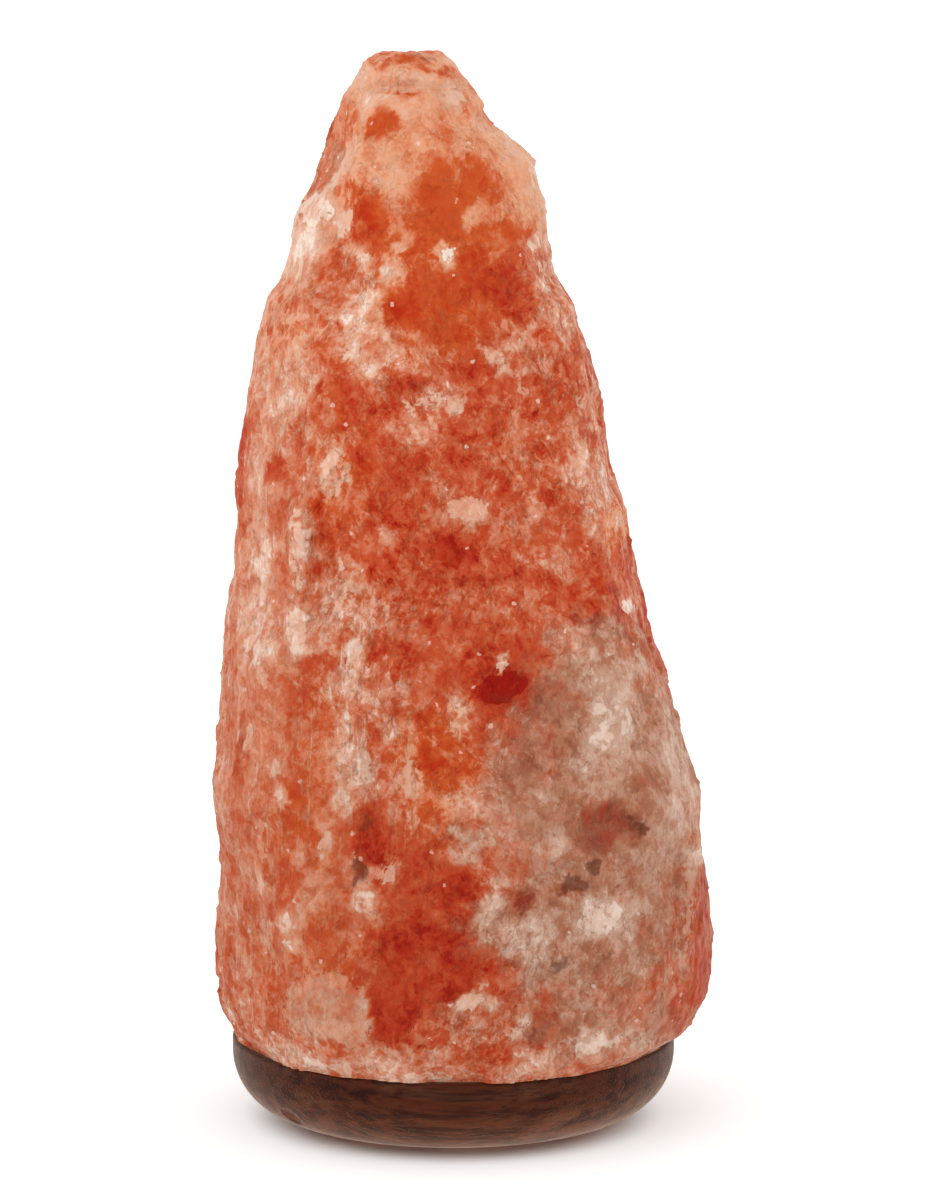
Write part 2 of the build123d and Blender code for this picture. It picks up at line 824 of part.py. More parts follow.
with BuildPart() as bulb_stem:
    turned(
        (flare_radius - glass_wall, stem_bottom),
        (flare_radius, stem_bottom),
        (stem_radius, flare_top),
        (stem_radius, press_bottom),
        (0, press_bottom),
        (0, press_bottom - glass_wall),
        (stem_radius - glass_wall, press_bottom - glass_wall),
        (stem_radius - glass_wall, flare_top),
    )
    with BuildSketch(Plane.XY.offset(press_bottom)):
        SlotOverall(stem_press_width, stem_radius)
    extrude(amount=stem_press_height)
    with BuildSketch(Plane.XY.offset(press_top)):
        Circle(stem_rod_diameter / 2)
    extrude(amount=stem_rod_height)
    with Locations((0, 0, rod_top)):
        Sphere(stem_rod_diameter * 3 / 4)
bulb_stem.part.label = "bulb_stem"
export_step(bulb_stem.part, "parts/bulb_stem.step")

filament_start = 270 + filament_gap_angle / 2
filament_sweep = 360 - filament_gap_angle

with BuildPart() as bulb_leads:
    for side in (-1, 1):
        end_x, end_y, _ = at_angle(2 * filament_radius, 270 + side * filament_gap_angle / 2)
        with BuildLine() as lead_path:
            FilletPolyline(
                (side * lead_x / 2, 0, stem_bottom),
                (side * lead_x / 2, 0, press_bottom - lead_x),
                (side * lead_x, 0, press_bottom + lead_x),
                (side * lead_x, 0, press_top + lead_x / 2),
                (end_x, end_y, filament_height),
                radius=lead_wire_diameter,
            )
        with BuildSketch(Plane(lead_path.line @ 0, z_dir=lead_path.line % 0)):
            Circle(lead_wire_diameter / 2)
        sweep(path=lead_path.line)
bulb_leads.part.label = "bulb_leads"
export_step(bulb_leads.part, "parts/bulb_leads.step")

with BuildPart() as bulb_supports:
    for number in range(support_count):
        angle = filament_start + filament_sweep * (number + 1) / (support_count + 1)
        with BuildLine() as support_path:
            Line(
                at_angle(2 * support_embedded_at, angle, rod_top),
                at_angle(2 * filament_radius, angle, filament_height),
            )
        with BuildSketch(Plane(support_path.line @ 0, z_dir=support_path.line % 0)):
            Circle(support_wire_diameter / 2)
        sweep(path=support_path.line)
bulb_supports.part.label = "bulb_supports"
export_step(bulb_supports.part, "parts/bulb_supports.step")

with BuildPart() as bulb_filament:
    with BuildLine(Plane.XY.offset(filament_height)) as filament_path:
        CenterArc((0, 0), filament_radius, filament_start, filament_sweep)
    with BuildSketch(Plane(filament_path.line @ 0, z_dir=filament_path.line % 0)):
        Circle(filament_diameter / 2)
    sweep(path=filament_path.line)
bulb_filament.part.label = "bulb_filament"
export_step(bulb_filament.part, "parts/bulb_filament.step")
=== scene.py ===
"""Looks of a salt crystal lamp: rough rock salt on a turned wooden base, with holder and bulb inside."""

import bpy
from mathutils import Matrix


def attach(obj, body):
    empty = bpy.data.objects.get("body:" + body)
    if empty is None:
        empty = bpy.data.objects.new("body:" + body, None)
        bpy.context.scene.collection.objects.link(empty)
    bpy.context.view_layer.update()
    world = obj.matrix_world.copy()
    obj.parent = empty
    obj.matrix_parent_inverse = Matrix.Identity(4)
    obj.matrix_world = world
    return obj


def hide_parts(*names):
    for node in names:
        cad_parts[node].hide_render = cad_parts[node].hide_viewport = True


bl_info = {
    "name": "Salt Crystal Lamp",
    "version": (1, 0, 0),
    "blender": (4, 5, 0),
    "location": "3D Viewport > Sidebar > Salt Lamp",
    "description": "Builds the rock, the base, the lamp holder and the bulb of a salt crystal lamp",
    "category": "Object",
}

from math import cos, pi, radians, sin

import bmesh
import bpy
import numpy as np
from bpy.props import FloatProperty, FloatVectorProperty, IntProperty, PointerProperty
from mathutils import Vector, noise

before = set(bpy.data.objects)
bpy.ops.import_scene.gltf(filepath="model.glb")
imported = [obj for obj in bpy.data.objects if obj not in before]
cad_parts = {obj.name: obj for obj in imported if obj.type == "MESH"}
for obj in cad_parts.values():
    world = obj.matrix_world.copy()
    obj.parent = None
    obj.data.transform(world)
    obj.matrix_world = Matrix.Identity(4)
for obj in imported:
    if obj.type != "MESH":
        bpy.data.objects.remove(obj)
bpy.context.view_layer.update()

# ----------------------------------------------------------------------------------------------
# Properties


def length(name, description, millimetres):
    """A length that a user may change, its default given in millimetres."""
    return FloatProperty(
        name=name, description=description, default=millimetres / 1000, min=0, unit="LENGTH",
        subtype="DISTANCE",
    )


def colour(name, description, red, green, blue):
    """A colour that a user may change, its default given as display values from 0 to 255."""
    shown = (red / 255, green / 255, blue / 255)
    return FloatVectorProperty(
        name=name, description=description, size=3, min=0, max=1, subtype="COLOR_GAMMA", default=shown
    )


def amount(name, description, default, highest=1.0):
    """A plain number from 0 up."""
    return FloatProperty(name=name, description=description, default=default, min=0, max=highest)


def power(name, description, default):
    """The power of a light in watts."""
    return FloatProperty(name=name, description=description, default=default, unit="POWER")


class RockSizes(bpy.types.PropertyGroup):
    """Sizes of the rough surface of the salt crystal."""

    face: length("Face Size", "Edge of one small face of the rock's skin", 1.42)
    swell_size: length("Swell Size", "Width of the broad swells and dips", 34)
    swell_depth: length("Swell Depth", "Height of the broad swells and dips", 1.6)
    facet_size: length("Facet Size", "Width of the large broken faces", 15)
    facet_depth: length("Facet Depth", "Rise of the large broken faces from side to side", 1.7)
    chip_size: length("Chip Size", "Width of the chipped faces", 7)
    chip_depth: length("Chip Depth", "Rise of the chipped faces from side to side", 0.9)
    grain_size: length("Grain Size", "Width of the crystal grains", 3.4)
    grain_depth: length("Grain Depth", "Rise of the crystal grains from side to side", 0.5)
    seed: IntProperty(name="Seed", description="Picks another pattern of broken faces", default=4)


class RockColours(bpy.types.PropertyGroup):
    """Colours of the rock salt, from its clearest to its milkiest."""

    clear: colour("Clear Red", "Darkest and clearest salt", 158, 16, 2)
    red: colour("Red", "Red salt", 184, 56, 24)
    flesh: colour("Flesh", "Usual colour of the salt", 196, 88, 50)
    blush: colour("Blush", "Pale pink salt", 209, 130, 98)
    frost: colour("Frost", "Bruised and frosted salt", 226, 176, 150)
    white: colour("White", "White crystals", 246, 222, 206)
    ember_clear: colour("Clear Ember", "Deep orange salt", 186, 50, 10)
    ember: colour("Ember", "Orange salt", 202, 88, 38)
    ember_pale: colour("Pale Ember", "Peach salt", 226, 158, 120)
    cloud_dark: colour("Dark Cloud", "Brown of the cloudy salt", 128, 62, 42)
    cloud: colour("Cloud", "Grey-beige of the cloudy salt", 176, 122, 94)
    cloud_pale: colour("Pale Cloud", "White of the cloudy salt", 214, 180, 158)
    # The pit colour is also used as painted shade: in creases, in hollows, and darker towards the bottom of
    # the rock
    pit: colour("Pit", "Dirt in pits and cracks", 100, 44, 26)
    glow: amount("Glow", "How much of the light comes from inside the salt", 0.25)


class WoodFinish(bpy.types.PropertyGroup):
    """Stain and polish of the wooden base."""

    dark: colour("Dark Stain", "Stain in the hard grain", 44, 10, 3)
    warm: colour("Warm Stain", "Usual colour of the wood", 120, 56, 26)
    light: colour("Light Streak", "Lighter streaks along the grain", 150, 98, 68)
    gloss: amount("Gloss", "How shiny the polish is", 0.08)
    sheen: amount("Sheen", "How pale the wood looks where it turns away", 0.31)


class HardwareFinish(bpy.types.PropertyGroup):
    """Colours of the metal, plastic and ceramic pieces."""

    steel: colour("Zinc Steel", "Screws, nuts and clamps", 176, 178, 180)
    spring: colour("Spring Steel", "Spring clip", 150, 152, 156)
    brass: colour("Brass", "Contacts and thread shell", 200, 160, 84)
    nickel: colour("Nickel", "Screw cap of the bulb", 186, 180, 168)
    tungsten: colour("Tungsten", "Filament", 92, 90, 90)
    plastic: colour("Black Plastic", "Lamp holder", 24, 24, 26)
    ceramic: colour("Ceramic", "Core of the lamp holder", 232, 228, 218)
    rubber: colour("Rubber", "Feet under the base", 30, 30, 31)
    plug: colour("Grey Plug", "Plugs in the rock and lock screw of the cord", 128, 130, 132)
    coil_pitch: length("Coil Pitch", "Distance between two turns of the filament", 0.30)
    coil_radius: length("Coil Radius", "Radius of the filament's coil", 0.3)
    filament_wire: length("Filament Wire", "Radius of the filament's wire", 0.05)


class StudioLight(bpy.types.PropertyGroup):
    """Soft white studio around the lamp."""

    floor: colour("Floor", "Pale floor", 236, 235, 233)
    lift: amount("Floor Lift", "Light that the floor adds to itself where the camera sees it", 0.35)
    sky: amount("Sky", "Strength of the even white light", 0.98, 10)
    key: power("Key Light", "Power of the large front light", 5)
    rim: power("Side Lights", "Power of the two side lights", 1.5)
    distance: length("Camera Distance", "How far in front of the lamp the camera stands", 1600)
    height: length("Camera Height", "Height of the camera above the table", 409)
    aim: length("Aim Height", "Height of the point the camera looks at", 167)
    lens: FloatProperty(name="Lens", description="Focal length in millimetres", default=152.7, min=1)


class SaltLamp(bpy.types.PropertyGroup):
    """Everything about the lamp that a user may change."""

    rock: PointerProperty(type=RockSizes)
    salt: PointerProperty(type=RockColours)
    wood: PointerProperty(type=WoodFinish)
    hardware: PointerProperty(type=HardwareFinish)
    studio: PointerProperty(type=StudioLight)


# ----------------------------------------------------------------------------------------------
# Node trees


def linear(shown):
    """A display colour as the four linear values that a colour socket holds."""
    return tuple(c / 12.92 if c <= 0.04045 else ((c + 0.055) / 1.055) ** 2.4 for c in shown) + (1.0,)


def shaded(shown, factor, added=0.0):
    """A display colour made darker or lighter, as linear values."""
    return linear([min(1, c * factor + added) for c in shown])


class Nodes:
    """Builds one node tree. Most methods add a node and return its main output."""

    def __init__(self, tree):
        self.tree = tree

    def add(self, kind, inputs=(), **settings):
        made = self.tree.nodes.new(kind)
        for name, value in settings.items():
            setattr(made, name, value)
        for name, value in dict(inputs).items():
            self.feed(made.inputs[name], value)
        return made

    def feed(self, socket, value):
        if isinstance(value, bpy.types.NodeSocket):
            self.tree.links.new(value, socket)
        else:
            socket.default_value = value

    def feed_all(self, node, **values):
        """Feeds a node's inputs, given by their names with _ for blanks."""
        for name, value in values.items():
            self.feed(node.inputs[name.replace("_", " ")], value)

    def math(self, operation, first, second=0.0, third=0.0):
        return self.add("ShaderNodeMath", {0: first, 1: second, 2: third}, operation=operation).outputs[0]

    def plus(self, first, second):
        return self.math("ADD", first, second)

    def minus(self, first, second):
        return self.math("SUBTRACT", first, second)

    def times(self, first, second):
        return self.math("MULTIPLY", first, second)

    def times_plus(self, first, factor, added):
        return self.math("MULTIPLY_ADD", first, factor, added)

    def vector(self, operation, first, second=(0.0, 0.0, 0.0)):
        made = self.add("ShaderNodeVectorMath", {0: first, 1: second}, operation=operation)
        return made.outputs["Value" if operation in ("DOT_PRODUCT", "LENGTH") else "Vector"]

    def scaled(self, vector, factor):
        made = self.add("ShaderNodeVectorMath", {0: vector, "Scale": factor}, operation="SCALE")
        return made.outputs["Vector"]

    def stretched(self, vector, x, y, z):
        return self.vector("MULTIPLY", vector, (x, y, z))

    def centred(self, shown):
        """A colour as a vector that points to every side alike."""
        return self.vector("SUBTRACT", shown, (0.5, 0.5, 0.5))

    def bent(self, vector, field, reach):
        """Places moved to and fro by a coloured noise."""
        return self.vector("ADD", vector, self.scaled(self.centred(field), reach))

    def height(self, vector):
        return self.add("ShaderNodeSeparateXYZ", {0: vector}).outputs["Z"]

    def noise(self, vector, scale, detail=4.0, roughness=0.55, distortion=0.0, output="Fac"):
        made = self.add("ShaderNodeTexNoise")
        self.feed_all(
            made, Vector=vector, Scale=scale, Detail=detail, Roughness=roughness, Distortion=distortion
        )
        return made.outputs[output]

    def voronoi(self, vector, scale, feature="F1"):
        """All outputs of a pattern of cells, to be picked by their names."""
        return self.add("ShaderNodeTexVoronoi", {"Vector": vector, "Scale": scale}, feature=feature).outputs

    def step(self, value, low, high):
        """0 below low, 1 above high, and a smooth rise between them."""
        inputs = {"Value": value, "From Min": low, "From Max": high}
        return self.add("ShaderNodeMapRange", inputs, interpolation_type="SMOOTHSTEP").outputs["Result"]

    def range(self, value, low, high, to_low, to_high):
        inputs = {"Value": value, "From Min": low, "From Max": high, "To Min": to_low, "To Max": to_high}
        return self.add("ShaderNodeMapRange", inputs).outputs["Result"]

    def mix(self, factor, first, second):
        """Colour mix: first where factor is 0, second where it is 1."""
        return self.add("ShaderNodeMix", {0: factor, 6: first, 7: second}, data_type="RGBA").outputs[2]

    def either(self, factor, first, second):
        """Number mix: first where factor is 0, second where it is 1."""
        return self.add("ShaderNodeMix", {0: factor, 2: first, 3: second}).outputs[0]

    def ramp(self, value, *stops):
        """Colours by value, each stop a position and a display colour."""
        made = self.add("ShaderNodeValToRGB", {0: value})
        elements = made.color_ramp.elements
        while len(elements) < len(stops):
            elements.new(1.0)
        for element, (position, shown) in zip(elements, stops):
            element.position = position
            element.color = linear(shown)
        return made.outputs[0]

    def part(self, shown, index):
        return self.add("ShaderNodeSeparateColor", {0: shown}).outputs[index]

    def bump(self, height, distance, strength):
        inputs = {"Strength": strength, "Distance": distance, "Height": height}
        return self.add("ShaderNodeBump", inputs).outputs["Normal"]

    def place(self):
        return self.add("ShaderNodeTexCoord").outputs["Object"]

    def attribute(self, name):
        return self.add("ShaderNodeAttribute", attribute_name=name).outputs["Fac"]

    def group(self, name, **inputs):
        """The outputs of a shared effect, its inputs given by their names with _ for blanks."""
        made = self.add("ShaderNodeGroup", node_tree=effect(name))
        self.feed_all(made, **inputs)
        return made.outputs


def new_material(name):
    """A material with its tree and its Principled shader."""
    material = bpy.data.materials.new(name)
    material.use_nodes = True
    shader = material.node_tree.nodes["Principled BSDF"]
    return material, Nodes(material.node_tree), shader


def sockets(tree, **wanted):
    """Gives a node group its named inputs and outputs: name=(in or out, kind, default)."""
    sides = {"in": "INPUT", "out": "OUTPUT"}
    for name, (side, kind, default) in wanted.items():
        made = tree.interface.new_socket(
            name.replace("_", " "), in_out=sides[side], socket_type="NodeSocket" + kind
        )
        if default is not None:
            made.default_value = default


def cloudy_patch(nodes, given, result):
    """Breaks the soft edge of a painted patch into ragged, cloudy shapes."""
    field = nodes.noise(given["Vector"], given["Scale"], 9.0, 0.66, 0.5)
    ragged = nodes.times_plus(nodes.minus(field, 0.5), given["Breakup"], given["Amount"])
    low = nodes.minus(0.5, given["Softness"])
    high = nodes.plus(0.5, given["Softness"])
    nodes.feed(result["Mask"], nodes.step(ragged, low, high))


def mottle(nodes, given, result):
    """Slow change of tone over a surface, with a fine grain on top."""
    slow = nodes.noise(given["Vector"], given["Scale"], 5.0, 0.6)
    fine = nodes.noise(given["Vector"], nodes.times(given["Scale"], 14.0), 2.0, 0.5)
    both = nodes.times_plus(fine, 0.35, nodes.times(slow, 0.65))
    nodes.feed(result["Tone"], nodes.step(both, 0.32, 0.68))
    nodes.feed(result["Grain"], fine)


def scratches(nodes, given, result):
    """Fine scratches and rub marks, mostly along one way."""
    lines = nodes.noise(nodes.stretched(given["Vector"], 1.0, 1.0, 14.0), given["Scale"], 3.0, 0.7)
    broad = nodes.noise(given["Vector"], nodes.times(given["Scale"], 0.2), 3.0)
    nodes.feed(result["Mask"], nodes.times(nodes.step(lines, 0.56, 0.66), nodes.step(broad, 0.4, 0.7)))
    nodes.feed(result["Height"], lines)


EFFECTS = {
    "Cloudy Patch": (
        cloudy_patch,
        {
            "Vector": ("in", "Vector", None), "Amount": ("in", "Float", 0.5), "Scale": ("in", "Float", 60.0),
            "Breakup": ("in", "Float", 1.5), "Softness": ("in", "Float", 0.1), "Mask": ("out", "Float", None),
        },
    ),
    "Mottle": (
        mottle,
        {
            "Vector": ("in", "Vector", None), "Scale": ("in", "Float", 100.0),
            "Tone": ("out", "Float", None), "Grain": ("out", "Float", None),
        },
    ),
    "Scratches": (
        scratches,
        {
            "Vector": ("in", "Vector", None), "Scale": ("in", "Float", 900.0),
            "Mask": ("out", "Float", None), "Height": ("out", "Float", None),
        },
    ),
}


def effect(name):
    """The shader node group of that name, built the first time it is asked for."""
    made = bpy.data.node_groups.get(name)
    if made is None:
        build, wanted = EFFECTS[name]
        made = bpy.data.node_groups.new(name, "ShaderNodeTree")
        sockets(made, **wanted)
        nodes = Nodes(made)
        given = nodes.add("NodeGroupInput").outputs
        result = nodes.add("NodeGroupOutput").inputs
        build(nodes, given, result)
    return made


# ----------------------------------------------------------------------------------------------
# Materials


def rock_salt(salt):
    """Rock salt from clear red to milky white. Painted fields say how milky, orange or grey it is."""
    material, nodes, shader = new_material("rock_salt")
    place = nodes.place()
    bent = nodes.bent(place, nodes.noise(place, 150.0, 3.0, 0.6, output="Color"), 0.004)

    def patch(name, scale, breakup, softness):
        """Where the painted field of that name is strong, with a broken edge."""
        given = {"Vector": bent, "Amount": nodes.attribute(name), "Scale": scale}
        return nodes.group("Cloudy Patch", Breakup=breakup, Softness=softness, **given)["Mask"]

    def leaning(lean, stretch):
        """Places turned by some degrees, for shapes that are long along the turned upright."""
        spun = nodes.add("ShaderNodeMapping", {"Vector": bent, "Rotation": (0.0, radians(lean), 0.0)})
        return nodes.stretched(spun.outputs["Vector"], 1.0, 1.0, stretch)

    def strokes(lean, scale, width):
        """Fine strokes that lean one way, where light catches in broken salt."""
        lines = nodes.noise(leaning(lean, 0.3), scale, 2.0, 0.6)
        return nodes.step(nodes.math("ABSOLUTE", nodes.minus(lines, 0.5)), width, 0.0)

    def crystals(lean, scale):
        """Broken crystals that lean one way: a tone for each, and a painted shade across it, each crystal
        lighter on one side and darker on the other as if its face caught the light.
        """
        long = leaning(lean, 0.5)
        cells = nodes.voronoi(long, scale)
        offset = nodes.scaled(nodes.vector("SUBTRACT", long, cells["Position"]), scale)
        # Painted shade: the slope of tone across each crystal stands in for light on its tilted face
        slope = nodes.vector("DOT_PRODUCT", offset, nodes.centred(cells["Color"]))
        return nodes.times_plus(slope, 0.9, nodes.part(cells["Color"], 1))

    # The broken salt, from its broad veils to its fine strokes
    veils = nodes.noise(bent, 58.0, 4.0, 0.6)
    wisps = nodes.noise(bent, 190.0, 5.0, 0.7)
    specks = nodes.noise(place, 620.0, 2.0, 0.6)
    lean = nodes.step(nodes.noise(place, 42.0, 2.0), 0.44, 0.56)
    facet_tone_and_shade = nodes.either(lean, crystals(34, 330.0), crystals(-30, 380.0))
    lines = nodes.either(lean, strokes(34, 330.0, 0.07), strokes(-30, 380.0, 0.07))
    feathers = nodes.times(lines, nodes.step(nodes.noise(place, 130.0, 3.0, 0.6), 0.42, 0.62))
    upright = nodes.noise(nodes.stretched(place, 1.0, 1.0, 0.1), 420.0, 4.0, 0.68)
    dashes = nodes.times(nodes.step(upright, 0.53, 0.68), nodes.attribute("fibre"))

    # What breaks up the tone: each field, its middle value and its share
    broken = 0.0
    for field, middle, share in (
        (veils, 0.5, 0.6), (nodes.step(veils, 0.44, 0.56), 0.5, 0.14),
        (wisps, 0.5, 0.6), (nodes.step(wisps, 0.46, 0.54), 0.5, 0.17),
        (specks, 0.5, 0.45), (facet_tone_and_shade, 0.5, 0.22), (feathers, 0.2, 0.24), (dashes, 0.1, 0.4),
    ):
        broken = nodes.times_plus(nodes.minus(field, middle), share, broken)
    chip = nodes.times_plus(nodes.minus(wisps, 0.5), 2.0, nodes.attribute("chip"))
    chip = nodes.times_plus(nodes.minus(facet_tone_and_shade, 0.5), 0.3, chip)
    chip = nodes.times(nodes.step(chip, 0.45, 0.55), 0.94)
    milk = nodes.either(chip, nodes.attribute("milk"), nodes.attribute("chalk"))
    loud = nodes.times(nodes.range(milk, 0.1, 0.5, 0.38, 1.0), nodes.attribute("rough"))
    loud = nodes.either(chip, loud, 0.48)
    milk = nodes.times_plus(broken, loud, milk)

    # Its colour by how milky it is, with orange and grey over the usual salt, and painted highlights: tiny
    # white glints
    tone = nodes.times_plus(milk, 0.75, 0.05)
    body = nodes.ramp(
        tone, (0.04, salt.clear), (0.17, salt.red), (0.36, salt.flesh), (0.55, salt.blush),
        (0.76, salt.frost), (0.96, salt.white),
    )
    orange = nodes.ramp(
        tone, (0.03, salt.ember_clear), (0.32, salt.ember), (0.6, salt.ember_pale), (0.85, salt.frost),
        (1.0, salt.white),
    )
    grey = nodes.ramp(
        tone, (0.08, salt.cloud_dark), (0.38, salt.cloud), (0.68, salt.cloud_pale), (1.0, salt.white)
    )
    body = nodes.mix(patch("ember", 70.0, 1.3, 0.35), body, orange)
    body = nodes.mix(nodes.times(patch("cloud", 110.0, 2.0, 0.4), 0.9), body, grey)
    # Painted highlight: a few tiny cells turned white as glints of light, and made a little smoother
    painted_glint = nodes.math("GREATER_THAN", nodes.part(nodes.voronoi(place, 900.0)["Color"], 1), 0.998)
    body = nodes.mix(nodes.times(painted_glint, 0.5), body, linear(salt.white))

    # Cracks and dirt, painted shade in creases and hollows, and painted shade that darkens the salt towards
    # the bottom
    edges = nodes.voronoi(bent, 95.0, "DISTANCE_TO_EDGE")["Distance"]
    crack = nodes.minus(1.0, nodes.step(edges, 0.0, 0.03))
    crack = nodes.times(crack, nodes.step(nodes.noise(place, 60.0, 3.0), 0.54, 0.68))
    # Painted shade: the creases darken the salt as if shade lay in them
    creases = nodes.times(strokes(-12, 300.0, 0.05), nodes.step(nodes.noise(place, 90.0, 3.0), 0.4, 0.6))
    creases = nodes.times(creases, loud)
    dirt_and_painted_shade = nodes.math("MAXIMUM", patch("pit", 330.0, 1.8, 0.3), nodes.times(crack, 0.25))
    dirt_and_painted_shade = nodes.math("MAXIMUM", dirt_and_painted_shade, nodes.times(creases, 0.45))
    body = nodes.mix(nodes.times(dirt_and_painted_shade, 0.7), body, linear(salt.pit))
    # Painted shade: the salt is darker towards the bottom of the rock, in the pit colour
    painted_low_shade = nodes.times(nodes.step(nodes.height(place), 0.21, 0.07), 0.13)
    body = nodes.mix(painted_low_shade, body, linear(salt.pit))

    crumbs = nodes.noise(place, 1100.0, 4.0, 0.65)
    relief = nodes.plus(nodes.times(facet_tone_and_shade, 0.35), nodes.times(crumbs, 0.3))
    for field, share in ((feathers, 0.3), (dashes, 0.5), (crack, -0.3), (creases, -0.3), (chip, 0.4)):
        relief = nodes.times_plus(field, share, relief)
    nodes.feed_all(
        shader, Base_Color=body,
        Roughness=nodes.times_plus(painted_glint, -0.2, nodes.range(wisps, 0.3, 0.7, 0.6, 0.36)),
        Normal=nodes.bump(relief, 0.0009, 0.7),
        Subsurface_Weight=salt.glow, Subsurface_Radius=(1.0, 0.42, 0.24), Subsurface_Scale=0.003,
        IOR=1.544, Specular_IOR_Level=0.07,
    )
    return material


def stained_wood(wood):
    """Dark stained hardwood, its grain running from side to side, with a satin polish."""
    material, nodes, shader = new_material("dark_wood")
    place = nodes.place()
    bent = nodes.bent(place, nodes.noise(place, 9.0, 2.0, output="Color"), 0.016)
    rings = nodes.noise(nodes.stretched(bent, 0.1, 0.8, 1.0), 330.0, 4.0, 0.6)
    streaks = nodes.noise(nodes.stretched(bent, 0.05, 0.6, 1.0), 130.0, 5.0, 0.65)
    pores = nodes.noise(nodes.stretched(place, 0.035, 1.0, 1.0), 1500.0, 2.0, 0.5)
    dark, light = linear(wood.dark), linear(wood.light)
    body = nodes.mix(nodes.step(rings, 0.36, 0.62), dark, linear(wood.warm))
    body = nodes.mix(nodes.times(nodes.step(streaks, 0.5, 0.68), 0.6), body, light)
    pore = nodes.step(pores, 0.56, 0.66)
    body = nodes.mix(nodes.times(pore, 0.6), body, shaded(wood.dark, 0.5))
    tone = nodes.group("Mottle", Vector=place, Scale=36.0)["Tone"]
    # Painted shade and light: the top under the rock is darkened towards the dark stain, and the lower edge
    # stays lighter in mottled patches, partly as wear and partly as painted light from below
    low = nodes.step(nodes.height(place), 0.022, 0.004)
    worn = nodes.times(low, nodes.range(tone, 0.0, 1.0, 0.35, 0.8))
    body = nodes.mix(worn, nodes.mix(0.7, body, dark), body)
    body = nodes.mix(nodes.times(worn, 0.25), body, light)
    relief = nodes.times_plus(pore, -0.8, nodes.times(rings, 0.6))
    nodes.feed_all(
        shader, Base_Color=body, Roughness=nodes.range(rings, 0.3, 0.7, 0.56, 0.42),
        Normal=nodes.bump(relief, 0.00025, 0.8), Specular_IOR_Level=wood.gloss,
        Sheen_Weight=wood.sheen, Sheen_Roughness=0.35, Sheen_Tint=(1.0, 0.76, 0.56, 1.0),
    )
    return material


def metal(name, shown, roughness, tarnish):
    """Bare metal with handling marks, fine scratches and a little tarnish."""
    material, nodes, shader = new_material(name)
    place = nodes.place()
    tone = nodes.group("Mottle", Vector=place, Scale=180.0)["Tone"]
    lines = nodes.group("Scratches", Vector=place, Scale=1500.0)
    body = nodes.mix(nodes.times(tone, tarnish), linear(shown), shaded(shown, 0.55))
    body = nodes.mix(nodes.times(lines["Mask"], 0.3), body, shaded(shown, 1.2))
    rough = nodes.range(tone, 0.0, 1.0, roughness, min(1.0, roughness + 0.2))
    nodes.feed_all(
        shader, Base_Color=body, Roughness=nodes.times_plus(lines["Mask"], 0.12, rough),
        Normal=nodes.bump(lines["Height"], 0.00003, 0.6), Metallic=1.0,
    )
    return material


def moulded(name, shown, roughness, grain_depth, gloss=0.0):
    """Moulded plastic, rubber or glazed ceramic with a fine skin grain and rubbed spots."""
    material, nodes, shader = new_material(name)
    place = nodes.place()
    skin = nodes.group("Mottle", Vector=place, Scale=140.0)
    rubbed = nodes.group("Scratches", Vector=place, Scale=700.0)["Mask"]
    body = nodes.mix(nodes.times(skin["Tone"], 0.5), linear(shown), shaded(shown, 0.82))
    body = nodes.mix(nodes.times(rubbed, 0.12), body, shaded(shown, 1.3, 0.04))
    nodes.feed_all(
        shader, Base_Color=body, Coat_Weight=gloss,
        Roughness=nodes.range(skin["Tone"], 0, 1, roughness, roughness + 0.12),
        Normal=nodes.bump(skin["Grain"], grain_depth, 0.7),
    )
    return material


def lamp_glass(name, tint, haze):
    """Clear glass with a breath of dust on it."""
    material, nodes, shader = new_material(name)
    dust = nodes.group("Mottle", Vector=nodes.place(), Scale=90.0)["Tone"]
    body = nodes.mix(nodes.times(dust, 0.2), linear(tint), shaded(tint, 0.94))
    nodes.feed_all(
        shader, Base_Color=body, Roughness=nodes.times(dust, haze), Transmission_Weight=1.0, IOR=1.5
    )
    return material


def dress(material, *names):
    """Puts a material on CAD nodes, whose shapes stay as they are."""
    for name in names:
        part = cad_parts[name]
        if not part.material_slots:
            part.data.materials.append(material)
        for slot in part.material_slots:
            slot.link = "OBJECT"
            slot.material = material


# ----------------------------------------------------------------------------------------------
# The view of the lamp, by which places on its front are named


# The lens and the middle of the view in picture units, and how many metres the camera stands to the
# right of the lamp's axis
FOCAL_PIXELS = 5090.0
MIDDLE_PIXEL = (464.0, 600.0)
CAMERA_SIDE = 0.0034


def view_axes(studio):
    """Where the camera stands, and its right, up and forward directions."""
    stand = Vector((CAMERA_SIDE, -studio.distance, studio.height))
    forward = (Vector((CAMERA_SIDE, 0.0, studio.aim)) - stand).normalized()
    right = forward.cross(Vector((0, 0, 1))).normalized()
    return stand, right, right.cross(forward), forward


def seen_at(points, studio):
    """The picture position of each point, as an array of x and y."""
    stand, right, up, forward = view_axes(studio)
    away = points - np.array(stand)
    depth = away @ np.array(forward)
    across = MIDDLE_PIXEL[0] + FOCAL_PIXELS * (away @ np.array(right)) / depth
    down = MIDDLE_PIXEL[1] - FOCAL_PIXELS * (away @ np.array(up)) / depth
    return np.stack([across, down], axis=1)


def smooth(low, high, values):
    """0 below low, 1 above high, smooth between, also with low above high."""
    t = np.clip((values - low) / (high - low), 0, 1)
    return t * t * (3 - 2 * t)


# Each patch of colour: what it is, x and y of its middle, its half width and half height in
# picture units, how far it leans clockwise in degrees, the value it brings, and how soft its edge
# is. Later patches lie over earlier ones.

